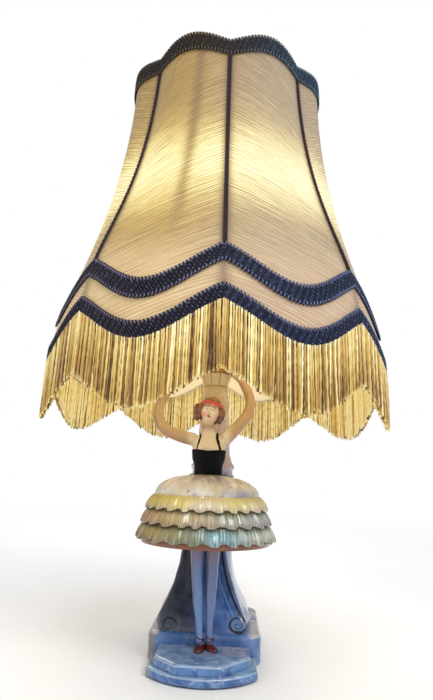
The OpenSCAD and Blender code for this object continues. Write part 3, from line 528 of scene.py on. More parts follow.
class Bench:
    """Builds one material or the surroundings, node by node."""

    def __init__(self, name: str, world: bool = False) -> None:
        """Starts an empty material, or the surroundings."""
        self.made = (bpy.data.worlds if world else bpy.data.materials).new(name)
        self.made.use_nodes = True
        self.tree = self.made.node_tree
        self.tree.nodes.clear()

    def node(self, kind: str, settings: Optional[dict] = None,
             values: Optional[dict] = None) -> bpy.types.Node:
        """Adds a node.

        Args:
            kind: the node's type, without ShaderNode before it.
            settings: its properties, set first; "stops" are a ramp's (place, colour) pairs.
            values: its sockets, by name or number, as numbers, colours or wires.

        Returns:
            The node.
        """
        made = self.tree.nodes.new("ShaderNode" + kind)
        for key, value in (settings or {}).items():
            if key == "stops":
                ramp = made.color_ramp.elements
                while len(ramp) < len(value):
                    ramp.new(0.5)
                for element, (place, colour) in zip(ramp, value):
                    element.position, element.color = place, colour
            else:
                setattr(made, key, value)
        for key, value in (values or {}).items():
            socket = made.inputs[key]
            if isinstance(value, Wire):
                self.tree.links.new(value.socket, socket)
            else:
                socket.default_value = value
        return made

    def wire(self, kind: str, settings: Optional[dict] = None, values: Optional[dict] = None,
             output: Union[int, str] = 0) -> Wire:
        """Adds a node and returns one of its outputs as a wire."""
        return Wire(self, self.node(kind, settings, values).outputs[output])

    def math(self, operation: str, *values: Value) -> Wire:
        """Adds a Math node on one to three values."""
        return self.wire("Math", {"operation": operation}, dict(enumerate(values)))

    def place(self) -> Wire:
        """Place on the piece in the lamp's own frame, in millimetres."""
        at = self.wire("TexCoord", output="Object")
        return self.wire("VectorMath", {"operation": "SCALE"}, {0: at, "Scale": 1 / MM})

    def joined(self, x: Value, y: Value, z: Value) -> Wire:
        """A vector from its three parts."""
        return self.wire("CombineXYZ", values={0: x, 1: y, 2: z})

    def carried(self, name: str) -> Wire:
        """A value that the mesh carries."""
        return self.wire("Attribute", {"attribute_name": name}, output="Fac")

    def facing(self) -> tuple[Wire, Wire, Wire]:
        """The three parts of the surface's own direction."""
        return self.wire("NewGeometry", output="Normal").split()

    def mix(self, share: Value, low: Paint, high: Paint, blend: str = "MIX") -> Wire:
        """Colour between two others."""
        return self.wire("Mix", {"data_type": "RGBA", "blend_type": blend},
                         {0: share, 6: tint(low), 7: tint(high)}, output=2)

    def coats(self, body: Wire, *coats: tuple[Value, Paint]) -> Wire:
        """A colour under further coats, each a share and its colour."""
        for share, colour in coats:
            body = self.mix(share, body, colour)
        return body

    def ramp(self, value: Value, stops: Sequence[tuple[float, Paint]]) -> Wire:
        """Colour of a value between 0 and 1."""
        return self.wire("ValToRGB", {"stops": [(at, tint(colour)) for at, colour in stops]},
                         {0: value})

    def bump(self, height: Value, depth: float, strength: float = 1.0) -> Wire:
        """Normal of a surface with relief; the depth is in millimetres."""
        return self.wire("Bump", None,
                         {"Strength": strength, "Distance": depth * MM, "Height": height})

    def surface(self, whiten: Optional[Wire] = None, **sockets: Union[Value, Colour]) -> Material:
        """Ends the material with a Principled shader.

        Args:
            whiten: share by which it fades to plain white.
            sockets: its sockets, with _ for each space in their names.

        Returns:
            The material.
        """
        named = {key.replace("_", " "): value for key, value in sockets.items()}
        shader = self.wire("BsdfPrincipled", None, named)
        if whiten is not None:
            white = self.wire("Emission", None, {"Color": (1, 1, 1, 1), "Strength": 1.0})
            shader = self.wire("MixShader", None, {0: whiten, 1: shader, 2: white})
        self.node("OutputMaterial", None, {0: shader})
        return self.made


class Finish:
    """A finish that several pieces may share; its material is made once."""

    made: dict[str, Material] = {}
    name: str

    def material(self) -> Material:
        """The finish's material."""
        if self.name not in Finish.made:
            Finish.made[self.name] = self.build(Bench(self.name))
        return Finish.made[self.name]

    def build(self, bench: Bench) -> Material:
        """Builds the material on a bench."""
        raise NotImplementedError


@dataclass(frozen=True)
class Glaze(Finish):
    """Hand-painted colour under a clear gloss, with brush marks and a slightly uneven skin."""

    RIPPLE = 0.4

    name: str
    paint: Callable[[Bench], Wire]
    gloss: float = 0.14
    coat: float = 0.35
    shine: float = 0.5

    def build(self, bench: Bench) -> Material:
        """Builds the glaze; see Finish.build."""
        at = bench.place()
        pits = at.noise(1.6, 2, 0.6)
        return bench.surface(
            Base_Color=self.paint(bench),
            Roughness=bench.math("MULTIPLY_ADD", pits, 0.14, self.gloss),
            Coat_Weight=self.coat,
            Coat_Roughness=0.06,
            Specular_IOR_Level=self.shine,
            Normal=bench.bump(at.noise(0.16, 3, 0.5) + pits * 0.18, self.RIPPLE, 0.35),
        )


@dataclass(frozen=True)
class Metal(Finish):
    """Brass or plated steel with fine tool marks and a little tarnish."""

    name: str
    bright: Chip
    dull: Chip
    roughness: float = 0.24

    def build(self, bench: Bench) -> Material:
        """Builds the metal; see Finish.build."""
        at = bench.place()
        marks = at.scaled(0.6, 0.6, 6).noise(1.0, 3, 0.6)
        darkening = at.noise(0.12, 3, 0.6)
        return bench.surface(
            Base_Color=bench.mix(darkening.rise(0.4, 0.75), self.bright, self.dull),
            Metallic=1.0,
            Roughness=bench.math("MULTIPLY_ADD", marks, 0.22, self.roughness - 0.08),
            Normal=bench.bump(marks, 0.05, 0.4),
        )


@dataclass(frozen=True)
class Moulded(Finish):
    """Plastic, phenolic or painted metal with a fine grain."""

    name: str
    colour: Chip
    worn: Chip
    roughness: float = 0.35

    def build(self, bench: Bench) -> Material:
        """Builds the moulding's finish; see Finish.build."""
        at = bench.place()
        grain = at.noise(2.2, 2, 0.6)
        cloud = at.noise(0.2, 3, 0.6)
        return bench.surface(
            Base_Color=bench.mix(cloud.rise(0.45, 0.8), self.colour, self.worn),
            Roughness=bench.math("MULTIPLY_ADD", cloud, 0.2, self.roughness - 0.1),
            Normal=bench.bump(grain, 0.05, 0.3),
        )


@dataclass(frozen=True)
class PearlGlass(Finish):
    """Frosted glass of a lamp that is lit."""

    GLOBE = (351.0, 34.0)

    name: str = "pearl_glass"
    strength: float = 2.2

    def build(self, bench: Bench) -> Material:
        """Builds the lit glass; see Finish.build."""
        at = bench.place()
        _, _, z = at.split()
        mottle = at.noise(0.3, 2)
        heart = z.hill(*self.GLOBE) + mottle * 0.1
        return bench.surface(
            Base_Color=bench.mix(mottle, (246, 240, 226), (232, 222, 200)),
            Roughness=0.35,
            Coat_Weight=0.4,
            Emission_Color=bench.mix(heart, (214, 150, 80), (255, 226, 170)),
            Emission_Strength=self.strength,
        )


@dataclass(frozen=True)
class Felt(Finish):
    """Dense green felt."""

    name: str = "felt"

    def build(self, bench: Bench) -> Material:
        """Builds the felt; see Finish.build."""
        fuzz = bench.place().noise(3.0, 4, 0.7)
        return bench.surface(
            Base_Color=bench.mix(fuzz, (24, 58, 38), (52, 96, 66)),
            Roughness=0.95,
            Sheen_Weight=0.4,
            Normal=bench.bump(fuzz, 0.3, 0.8),
        )


class Lining(Enum):
    """Which of the two cloths of the shade a silk is."""

    OUTER = "outer"
    INNER = "inner"


@dataclass(frozen=True)
class Silk(Finish):
    """Slubbed silk with the lamp's light behind it, painted on as emission and into its colour.

    The mesh carries grain, the height across the threads in millimetres, round, the distance
    along them, and shadow, the share of the light that the frame keeps off.
    """

    PICK = 2.5

    name: str
    cloth: Lining
    glow_z: float

    def build(self, bench: Bench) -> Material:
        """Builds the silk; see Finish.build."""
        at = bench.place()
        grain = bench.carried("grain")
        weave = bench.joined(bench.carried("round"), grain, 0.0)
        drift = weave.scaled(0.016, 0.1, 1).noise(1.0, 2, 0.5)
        pick = bench.math("SINE", grain * (TURN / self.PICK) + drift * 16.0)
        slub = weave.scaled(0.02, 0.95, 1).noise(1.0, 3, 0.6)
        twist = weave.scaled(0.12, 2.2, 1).noise(1.0, 2, 0.5)
        warp = weave.scaled(2.6, 0.3, 1).noise(1.0, 2, 0.5)
        lines = pick * 0.3 * twist.rise(0.3, 0.6) + (slub - 0.5) * 1.5 + (twist - 0.5) * 0.7
        height = lines * 0.6 + warp * 0.25
        streak = bench.math("MINIMUM", bench.math("MAXIMUM", lines, -0.5), 0.5)
        x, y, z = at.split()
        if self.cloth is Lining.INNER:
            # Painted light: the lining's weak warm emission stands for the bulb's light falling on it.
            return bench.surface(
                Base_Color=bench.mix(slub, (238, 226, 196), (252, 246, 228)),
                Roughness=0.8, Sheen_Weight=0.15,
                Emission_Color=bench.mix(slub, (255, 222, 160), (255, 236, 186)),
                Emission_Strength=0.12, Normal=bench.bump(height, 0.25, 0.5))
        # Painted light and shade: the silk is yellower towards the lamp's right (-x) as painted warm light,
        # greyer towards its left as painted cool light, and darker above the belly as painted shade.
        across = x.rise(-50, 50)
        dark = bench.mix(across, (112, 80, 26), (118, 96, 70))
        pale = bench.mix(across, (208, 174, 98), (192, 174, 144))
        low = z.rise(320, 270) * 0.7
        base = bench.mix(across, (206, 168, 116), (182, 148, 118))
        crest = bench.mix(across, (252, 230, 184), (226, 200, 172))
        thread = streak + 0.5
        colour = bench.mix(low, bench.mix(thread, dark, pale), bench.mix(thread, base, crest))
        # Painted light: the bulb's glow through the cloth, falling off round glow_z, given as emission.
        reach = bench.math("SQRT", x * x + y * y + (z - self.glow_z) * (z - self.glow_z) * 1.5)
        glow = (118.0 / reach) ** 5.5
        shaded = bench.carried("shadow")
        colour = bench.mix(shaded * 0.6, colour, (82, 56, 44))
        lit = glow * (1.0 - shaded * 0.6) * (streak * 0.75 + 1.0)
        light = bench.ramp(
            lit * 0.62,
            [(0.0, (0, 0, 0, 1)), (0.18, (0.03, 0.02, 0.006, 1)), (0.4, (0.17, 0.13, 0.04, 1)),
             (0.66, (0.5, 0.45, 0.19, 1)), (0.9, (0.7, 0.68, 0.39, 1)), (1.0, (0.8, 0.82, 0.56, 1))],
        )
        return bench.surface(
            Base_Color=colour, Roughness=0.72, Sheen_Weight=0.2,
            Emission_Color=light, Emission_Strength=1.0,
            Normal=bench.bump(height, 0.4, 0.6),
        )


@dataclass(frozen=True)
class Yarn(Finish):
    """Silky yarn that lamplight shows through; each strand's tone picks its colour from the stops."""

    name: str
    stops: Stops
    glow: float
    glow_colour: Chip

    def build(self, bench: Bench) -> Material:
        """Builds the yarn; see Finish.build."""
        at = bench.place()
        fibres = at.scaled(2.2, 2.2, 0.5).noise(1.0, 3, 0.6)
        cloud = at.noise(0.05, 2)
        tone = bench.carried("tone") + (fibres - 0.5) * 0.4 + (cloud - 0.5) * 0.25
        colour = bench.ramp(tone, self.stops)
        return bench.surface(
            Base_Color=colour, Roughness=0.55, Sheen_Weight=0.25, Normal=bench.bump(fibres, 0.15, 0.5),
            Emission_Color=bench.mix(1.0, colour, self.glow_colour, "MULTIPLY"),
            Emission_Strength=self.glow)


@dataclass(frozen=True)
class Gimp(Finish):
    """Dull braid yarn whose colour turns from one set of stops at the lamp's right to another at its left, as
    painted warm and cool light.
    """

    name: str
    right: Stops
    left: Stops
    turn: Pair = (-70.0, 80.0)

    def build(self, bench: Bench) -> Material:
        """Builds the braid's yarn; see Finish.build."""
        at = bench.place()
        x, _, _ = at.split()
        fibres = at.noise(2.2, 3, 0.6)
        tone = bench.carried("tone") * 1.15 + (fibres - 0.5) * 1.1 - 0.08
        # Painted light: the shift from the right side's stops to the left side's along x.
        painted_light_colour = bench.mix(x.rise(*self.turn), bench.ramp(tone, self.right), bench.ramp(tone, self.left))
        return bench.surface(Base_Color=painted_light_colour, Roughness=0.7, Specular_IOR_Level=0.3,
                             Normal=bench.bump(fibres, 0.15, 0.5))


# ---- the finishes of this lamp

CREAM_YARN = ((0.0, (68, 42, 14)), (0.3, (142, 102, 44)), (0.55, (198, 165, 84)),
              (0.8, (232, 213, 140)), (1.0, (252, 245, 204)))
# NIGHT and NAVY, and UMBER and TEAL, are painted-light copies of one dark braid yarn for the lamp's right and
# left sides; see Gimp.
NAVY_LIT_YARN = ((0.0, (8, 10, 20)), (0.45, (20, 27, 50)), (0.75, (48, 60, 98)),
             (1.0, (112, 126, 164)))
NIGHT_LIT_YARN = ((0.0, (8, 7, 12)), (0.45, (24, 21, 32)), (0.75, (56, 50, 72)),
              (1.0, (126, 118, 138)))
UMBER_LIT_YARN = ((0.0, (14, 12, 12)), (0.5, (44, 38, 36)), (0.8, (80, 68, 56)),
              (1.0, (120, 106, 86)))
TEAL_LIT_YARN = ((0.0, (12, 16, 24)), (0.5, (36, 52, 70)), (0.8, (66, 90, 112)),
             (1.0, (112, 138, 156)))
PLUM_YARN = ((0.0, (20, 12, 18)), (0.5, (50, 34, 42)), (0.8, (82, 60, 66)),
             (1.0, (122, 100, 104)))


def plain(colour: Chip, other: Chip, scale: float = 0.12) -> Callable[[Bench], Wire]:
    """Paint of one colour that another shows through in soft strokes."""

    def paint(bench: Bench) -> Wire:
        """Lays the paint; see Glaze."""
        strokes = bench.place().scaled(1, 1, 0.4).noise(scale, 4, 0.6, 0.6)
        return bench.mix(strokes.rise(0.35, 0.68), colour, other)

    return paint


class Palette:
    """The finishes of the lamp's stock pieces, by the record's material slots."""

    STOCK = (
        Metal("brass", (214, 178, 96), (150, 112, 52)),
        Metal("plated_steel", (206, 204, 196), (150, 146, 138)),
        Metal("bulb_metal", (212, 210, 204), (160, 158, 150), 0.2),
        Moulded("brown_plastic", (58, 34, 22), (84, 52, 34)),
        Moulded("black_plastic", (22, 22, 24), (46, 46, 50)),
        Moulded("white_wire", (226, 218, 200), (196, 180, 150), 0.4),
        PearlGlass(),
        Felt(),
    )

    def dress(self) -> None:
        """Gives every CAD node that is shown its finish."""
        by_slot = {finish.name: finish for finish in self.STOCK}
        slots = {part["node"]: part["material_slot"] for part in frame["record"]["subparts"]}
        spare = Glaze("spare_glaze", plain((170, 150, 130), (150, 130, 110)))
        for name, obj in frame["nodes"].items():
            finish = by_slot.get(slots.get(name, ""), spare)
            obj.data.materials.clear()
            obj.data.materials.append(finish.material())


# ---- room, light and view


@dataclass(frozen=True)
class Viewpoint:
    """Where the lamp is looked at from."""

    place: Triple = (15.5, -462.3, 134.2)
    turn: float = 2.0
    rise: float = 13.67
    roll: float = 2.18
    lens: float = 26.24

    def set_up(self) -> None:
        """Makes the camera."""
        data = bpy.data.cameras.new("camera")
        data.lens, data.sensor_width, data.sensor_fit = self.lens, 36.0, "AUTO"
        data.clip_start, data.clip_end = 0.01, 50.0
        camera = into_scene("camera", data)
        camera.matrix_world = Matrix.Translation(Vector(self.place) * MM)
        for degrees, axis in ((self.turn, "Z"), (90 + self.rise, "X"), (self.roll, "Z")):
            camera.matrix_world @= Matrix.Rotation(math.radians(degrees), 4, axis)
        bpy.context.scene.camera = camera


@dataclass(frozen=True)
class Softbox:
    """A square light on a stand."""

    name: str
    place: Triple
    aim: Triple
    size: float
    watts: float
    colour: Triple

    def set_up(self) -> None:
        """Makes the light; its place and aim are in metres."""
        data = bpy.data.lights.new(self.name, "AREA")
        data.shape, data.size, data.energy, data.color = "SQUARE", self.size, self.watts, self.colour
        light = into_scene(self.name, data)
        light.location = self.place
        light.rotation_mode = "QUATERNION"
        light.rotation_quaternion = (Vector(self.aim) - Vector(self.place)).to_track_quat("-Z", "Y")


class Studio:
    """Pale floor, white surroundings, soft light and the view."""

    BOXES = (
        Softbox("key_light", (0.75, -0.95, 1.05), (0.0, 0.0, 0.2), 0.55, 8.0, (1.0, 0.98, 0.95)),
        Softbox("fill_light", (-1.05, -0.75, 0.55), (0.0, 0.0, 0.22), 0.8, 3.6, (1.0, 0.95, 0.88)),
        Softbox("back_light", (-0.25, 1.1, 1.0), (0.0, 0.0, 0.3), 0.8, 7.0, (0.95, 0.97, 1.0)),
    )
    AMBIENT = 0.42
    FADE = (300.0, 1500.0)
    BULB, GLOBE_R = (0.0, 0.0, 351.5), 30.0

    def __init__(self) -> None:
        """Sets up the whole room."""
        self.floor()
        self.surroundings()
        for box in self.BOXES:
            box.set_up()
        self.skylight()
        self.lamp_light()
        Viewpoint().set_up()
        bpy.context.scene.view_settings.view_transform = "Standard"

    def floor(self) -> None:
        """Makes the floor."""
        bench = Bench("pale_floor")
        at = bench.place()
        x, y, _ = at.split()
        colour = bench.mix(at.noise(0.01, 2), (0.86, 0.86, 0.86, 1), (0.9, 0.9, 0.9, 1))
        far = bench.math("SQRT", x * x + y * y).rise(*self.FADE)
        seen = bench.wire("LightPath", output="Is Camera Ray")
        material = bench.surface(whiten=far * seen, Base_Color=colour, Roughness=0.7,
                                 Normal=bench.bump(at.noise(0.4, 2), 0.05, 0.2))
        mesh = bpy.data.meshes.new("floor")
        mesh.from_pydata([(-8, -8, 0), (8, -8, 0), (8, 8, 0), (-8, 8, 0)], [], [(0, 1, 2, 3)])
        floor = into_scene("floor", mesh)
        mesh.materials.append(material)

    def surroundings(self) -> None:
        """Makes the world: white where it is seen, also through glass, and dimmer as a light."""
        bench = Bench("surroundings", world=True)
        path = bench.node("LightPath").outputs
        seen = bench.math("MAXIMUM", Wire(bench, path["Is Camera Ray"]),
                          Wire(bench, path["Is Transmission Ray"]))
        dim, white = (bench.wire("Background", None, {0: colour, 1: strength})
                      for colour, strength in (((0.95, 0.97, 1, 1), self.AMBIENT), ((1, 1, 1, 1), 1.0)))
        lit = bench.wire("MixShader", None, {0: seen, 1: dim, 2: white})
        bench.node("OutputWorld", None, {0: lit})
        bpy.context.scene.world = bench.made

    def skylight(self) -> None:
        """Makes a weak broad light that keeps the far floor pale."""
        data = bpy.data.lights.new("skylight", "SUN")
        data.energy, data.angle = 1.2, math.radians(50)
        into_scene("skylight", data).rotation_euler = (math.radians(20), math.radians(14), 0.0)

    def lamp_light(self) -> None:
        """Makes the light that the bulb gives."""
        data = bpy.data.lights.new("bulb_light", "POINT")
        data.energy, data.color = 6.0, (1.0, 0.83, 0.54)
        data.shadow_soft_size = (self.GLOBE_R + 1) * MM
        into_scene("bulb_light", data).location = Vector(self.BULB) * MM


# ---- the shade


@dataclass(frozen=True)
class ShadeSizes:
    """Sizes of the bell shade, in millimetres; depths run down from its top edge."""

    turn: float = 3.0
    top: float = 508.5
    height: float = 265.0
    rib: tuple[Pair, ...] = ((88.5, 0), (94.5, 161), (145.5, 199), (145.5, 265))
    panels: int = 8
    arch: float = 6.0
    dip: float = 27.0
    belly_top: float = 6.0
    belly_low: float = 2.0
    low_ring: float = 226.0
    roundness: float = 0.5
    top_braid: Pair = (0.6, 18.0)
    mid_braid: Pair = (217.2, 233.6)
    low_braid: Pair = (249.6, 265.0)
    fringe: float = 43.0
    tucked: float = 3.0
    pitch: float = 1.95
    uprights: float = 256.5
    glow_z: float = 356.0
    gimp: float = 3.6


class ShadeForm:
    """The shade's shape, as places round it, down it and out from it."""

    def __init__(self, sizes: ShadeSizes) -> None:
        """Works out the rib's curve once."""
        self.sizes = sizes
        t = np.linspace(0, 1, 400)[:, None]
        p0, p1, p2, p3 = np.array(sizes.rib, float)
        curve = (1 - t) ** 3 * p0 + 3 * (1 - t) ** 2 * t * p1 + 3 * (1 - t) * t**2 * p2 + t**3 * p3
        self.curve_r, self.curve_d = curve.T

    def bulge(self, u: Points) -> Points:
        """Share of the panel's swell at a place u panels round, 0 on a rib and 1 midway."""
        s = np.mod(u, 1.0)
        return lerp(4 * s * (1 - s), (1 - np.cos(TURN * s)) / 2, self.sizes.roundness)

    def rib_r(self, d: Points) -> Points:
        """Radius of a rib at a depth."""
        return np.interp(d, self.curve_d, self.curve_r)

    def angle(self, u: Points) -> Points:
        """Direction from the axis at a place u panels round, in radians."""
        return np.radians(self.sizes.turn - 90 + u * 360 / self.sizes.panels)

    def at(self, u: Points, d: Points, off: Points) -> Points:
        """Points of the shade.

        Args:
            u: how far round, in panels from the front rib.
            d: depths below the top edge.
            off: distances out from the cover's outer face.

        Returns:
            An array of points.
        """
        s = self.sizes
        u, d, off = np.broadcast_arrays(u, d, off)
        swell = self.bulge(u)
        r = self.rib_r(np.clip(d, 0, s.height)) + lerp(s.belly_top, s.belly_low, d / s.height) * swell + off
        z = s.top - d + lerp(s.arch, -s.dip, np.clip(d / s.low_ring, 0, 1)) * swell
        return round_axis(r, self.angle(u), z)

    def steps(self, d: float) -> tuple[Points, Points]:
        """Close places u all the way round at one depth, and the cloth's length between them."""
        u = np.linspace(0, self.sizes.panels, 1601)
        return u, np.linalg.norm(np.diff(self.at(u, d, 0.0), axis=0), axis=1)

    def round_even(self, d: float, count: int) -> Points:
        """Places u, evenly spaced along the cloth at one depth, all the way round.

        Args:
            d: the depth.
            count: how many places.

        Returns:
            The places, from 0 up to less than the number of panels.
        """
        u, steps = self.steps(d)
        length = np.concatenate([[0], np.cumsum(steps)])
        return np.interp(np.linspace(0, length[-1], count, endpoint=False), length, u)

    def girth(self, d: float) -> float:
        """Length once round the cloth at one depth."""
        return float(self.steps(d)[1].sum())


class Shade:
    """Cloth cover and lining on a wire frame, with gimp, braids and a fringe."""

    COLS, ROWS = 256, 130
    THICK = 0.5
    MEAN_R = 110.0
    LOOP_STEP, PLAIT_STEP, ROW_STEP, CORD_STEP, TWIST_STEP = 2.9, 5.2, 2.2, 4.4, 4.2
    GORE_FILL = 0.86

    def __init__(self, sizes: ShadeSizes) -> None:
        """Makes the whole shade."""
        self.sizes = sizes
        self.form = ShadeForm(sizes)
        navy = Gimp("blue_gimp", NIGHT_LIT_YARN, NAVY_LIT_YARN)
        smoky = Gimp("top_gimp", UMBER_LIT_YARN, TEAL_LIT_YARN, (-20.0, 75.0))
        cover = self.cloth("cover", 0.0, (0.0, sizes.height), Lining.OUTER, "cream_silk")
        lining = self.cloth("lining", -4.8, (7.7, 262.0), Lining.INNER, "lining_silk")
        trims = [self.braid("top_braid", sizes.top_braid, smoky),
                 self.braid("mid_braid", sizes.mid_braid, navy),
                 self.braid("low_braid", sizes.low_braid, navy), self.rib_cords(), self.fringe()]
        self.declare()
        self.declare()

    def cloth(self, node: str, off: float, depths: Pair, cloth: Lining, slot: str) -> Object:
        """Makes one cloth of the shade with the places of its threads.

        Args:
            node: the CAD node that it stands for.
            off: how far out it lies.
            depths: its top and bottom.
            cloth: which cloth it is.
            slot: the record's slot.

        Returns:
            The cloth, as a thin closed sheet.
        """
        s, form = self.sizes, self.form
        u = np.arange(self.COLS) * s.panels / self.COLS
        d = np.linspace(*depths, self.ROWS)
        uu, dd = np.meshgrid(u, d)
        near_rib = np.abs(np.mod(uu + 0.5, 1) - 0.5)
        pucker = 0.22 * np.exp(-near_rib * 14) * np.sin(dd * 0.9 + 2 * np.sin(dd * 0.13 + uu * 2.1))
        ease = 0.35 * np.sin(dd * 0.045 + uu * 5.3) * (1 - np.exp(-near_rib * 8))
        taut = smooth((dd - depths[0]) / 14) * smooth((depths[1] - dd) / 14)
        points = form.at(uu, dd, off - 0.35 + (pucker + ease * 0.6) * taut)
        mesh = Draft().grid(points).mesh(f"shade_{node}")
        z, r = points[..., 2], np.hypot(points[..., 0], points[..., 1])
        from_peak = np.abs(np.mod(uu + 1, 2) - 1) * TURN / s.panels * r
        slope = lerp(0.34, 0.62, smooth((z - 260) / 210))
        carry(mesh, "grain", z + slope * from_peak)
        carry(mesh, "round", uu * TURN / s.panels * self.MEAN_R)
        carry(mesh, "shadow", self.shadows(points, near_rib * TURN / s.panels * r))
        obj = piece(mesh.name, mesh, Silk(slot, cloth, s.glow_z), slot, node, body="shade")
        solid = obj.modifiers.new("cloth", "SOLIDIFY")
        solid.thickness, solid.offset = self.THICK * MM, -1.0
        return obj

    def shadows(self, points: Points, from_rib: Points) -> Points:
        """Works out how much of the bulb's light the frame keeps off the cloth.

        Args:
            points: the cloth's points.
            from_rib: how far each is from a rib.

        Returns:
            A share for each point.
        """
        a = np.degrees(np.arctan2(points[..., 1], points[..., 0]))
        off = np.mod(a - self.sizes.uprights + 45, 90) - 45
        drift = (points[..., 2] - 400) * 0.012
        streak = np.exp(-((off - drift) / 2.7) ** 2) * smooth((points[..., 2] - 285) / 80)
        return np.clip(0.7 * streak + 0.9 * np.exp(-((from_rib / 4.2) ** 2)), 0, 1)

    def braid(self, node: str, depths: Pair, yarn: "Finish") -> Object:
        """Makes a plaited braid with looped edges round the shade.

        Args:
            node: the CAD node that it stands for.
            depths: its upper and lower edges.
            yarn: its finish.

        Returns:
            The braid.
        """
        form, draft = self.form, Draft()
        top, low = depths
        wide, middle = low - top, (low + top) / 2
        girth = form.girth(middle)
        rng = np.random.default_rng(int(middle))
        u = form.round_even(middle, 640)
        band = ((top + 1.7, 0.45), (top + 2.1, 0.85), (low - 2.1, 0.85), (low - 1.7, 0.45))
        draft.grid(np.array([form.at(u, d, off) for d, off in band]), tone=0.1)
        loops = int(round(girth / self.LOOP_STEP))
        for edge, way in ((top, 1.0), (low, -1.0)):
            n = loops * 12
            t = np.arange(n) / n * loops * TURN
            here = form.round_even(middle, n)
            step = self.sizes.panels / loops
            uneven = 1 + 0.1 * waves(t / loops, int(edge) + 5, (31, 47, 83))
            depth = edge + way * (1.9 + 1.35 * np.cos(t) * uneven)
            place = here + step * 0.42 * np.sin(2 * t) * 0.5 + step * 0.12 * np.sin(t)
            # Painted highlight: each loop's tone rises where it stands furthest out.
            draft.tube(form.at(place, depth, 1.0 + 0.35 * np.sin(t)), 0.6, 6, loop=True,
                       tone=0.6 + 0.35 * np.sin(t))
        cords = max(3, int(round((wide - 5.4) / self.ROW_STEP)))
        turns = int(round(girth / self.PLAIT_STEP))
        for row in range(cords):
            centre = top + 2.7 + (wide - 5.4) * (row + 0.5) / cords
            for phase in (0.0, math.pi):
                n = turns * 9
                t = np.arange(n) / n * turns * TURN + phase + row * 1.3
                here = form.round_even(middle, n)
                depth = centre + 0.95 * np.sin(t)
                out = 1.25 + 0.38 * np.cos(2 * t + phase)
                tones = np.clip(0.5 + 0.25 * np.cos(t) + rng.normal(0, 0.08, n), 0, 1)
                draft.tube(form.at(here, depth, out), 0.52, 5, loop=True, tone=tones)
        return piece(f"{node}_trim", draft, yarn, "blue_gimp", node, body="shade")

    def rib_cords(self) -> Object:
        """Makes the gimp that covers each rib between the top and middle braids."""
        s, form, draft = self.sizes, self.form, Draft()
        d = np.linspace(s.top_braid[1] - 0.5, s.mid_braid[0] + 0.5, 300)
        for k in range(s.panels):
            out = form.at(k, d, 1.0) - form.at(k, d, 0.0)
            draft.tube(form.at(k, d, 0.45), s.gimp * 0.42, 8, flat=0.3, up=out, tone=0.2)
            for phase in (0.0, math.pi):
                t = d * TURN / self.CORD_STEP + phase + k
                path = form.at(k, d, 1.0 + 0.35 * np.cos(t))
                side = unit(np.cross(out, np.gradient(path, axis=0)))
                # Painted highlight: the cord's tone rises where it stands furthest out.
                draft.tube(path + side * (0.26 * s.gimp * np.sin(t))[:, None], 0.5, 6, up=out,
                           tone=0.45 + 0.2 * np.cos(t))
                beat = np.sin(d * TURN / self.ROW_STEP)
                edge = np.sign(np.cos(phase)) * (0.36 * s.gimp + 0.35 * beat)
                draft.tube(path + side * edge[:, None], 0.32, 5, up=out, tone=0.5 + 0.3 * beat)
        plum = Gimp("rib_gimp", PLUM_YARN, PLUM_YARN)
        return piece("rib_gimp_trim", draft, plum, "blue_gimp", "rib_gimp", body="shade")

    def fringe(self) -> Object:
        """Makes the fringe: light twisted strands outside and inside a darker middle row; the paler inner row
        is painted lamplight and the darker middle row painted shade between the strands.
        """
        s, form, draft = self.sizes, self.form, Draft()
        rng = np.random.default_rng(11)
        per_row = int(form.girth(s.height) / s.pitch)
        rows = 18
        t = np.linspace(0, 1, rows)
        # Each row's mean tone: the inner row's paleness is painted lamplight, the middle row's darkness
        # painted shade between the strands.
        for row, (out, light, fade) in enumerate(((0.9, 0.68, 0.26), (-0.3, 0.2, 0.0), (-1.5, 0.94, 0.0))):
            u = form.round_even(s.height, per_row) + row * 0.5 * s.panels / per_row
            parted = 0.0
            for place in u:
                if rng.random() < 0.012:
                    parted = rng.uniform(0.02, 0.05)
                parted *= 0.55
                place = place + rng.normal(0, 0.0022) + parted * 0.3
                long = s.fringe * (1 + rng.normal(0, 0.02)) + s.tucked
                lean = rng.normal(0, 0.005) + parted
                sway = rng.normal(0, 0.22) * np.sin(t * math.pi * rng.uniform(0.8, 1.6))
                flare = out + 0.4 * t + rng.normal(0, 0.25) * t + sway
                path = form.at(place + lean * t**2, s.height, flare + 0.5)
                path[:, 2] += s.tucked - long * t
                tone = rng.normal(light, 0.2) - fade * smooth((t - 0.1) / 0.8)
                tone = np.clip(tone + (0.12 + fade) * smooth((t - 0.955) / 0.04), 0, 1)
                draft.tube(path, rng.uniform(0.6, 0.76) * np.where(t > 0.96, 0.85, 1.0), 6, up=(0, 1, 0.01),
                           tone=tone, twist=long / self.TWIST_STEP * rng.uniform(0.9, 1.1))
        gold = Yarn("gold_fringe", CREAM_YARN, 0.2, (230, 206, 124))
        return piece("fringe_trim", draft, gold, "gold_fringe", "fringe", body="shade", outwards=False)

    def declare(self) -> None:
        """Works out the girth of the shade's lower edge, in metres, and keeps nothing."""
        wide = self.form.girth(self.sizes.height) * MM


# ---- foot, pedestal and column


def slab(plan: Points, profile: Rows) -> Draft:
    """A slab with a shaped edge over a plan.

    Args:
        plan: outline of its widest level.
        profile: (drawn in, height) pairs from the bottom up.

    Returns:
        The slab.
    """
    rows = [np.column_stack([drawn_in(plan, by), np.full(len(plan), z)]) for by, z in profile]
    return Draft().grid(np.array(rows), ends=True)


@dataclass(frozen=True)
class FootSizes:
    """Sizes of the foot block and the stepped plinth in front of it."""

    wide: float = 84.0
    front: float = 50.0
    back: float = 38.0
    corner: float = 9.0
    edge: float = 3.0
    felt_top: float = 1.0
    top: float = 20.0
    plinth_half: float = 38.0
    plinth_front: float = 96.0
    plinth_r: float = 48.0
    low_top: float = 6.5
    high_top: float = 12.5
    ledge: float = 4.5
    high_flat: Pair = (-17.5, 13.0)
    let_in: float = 12.0


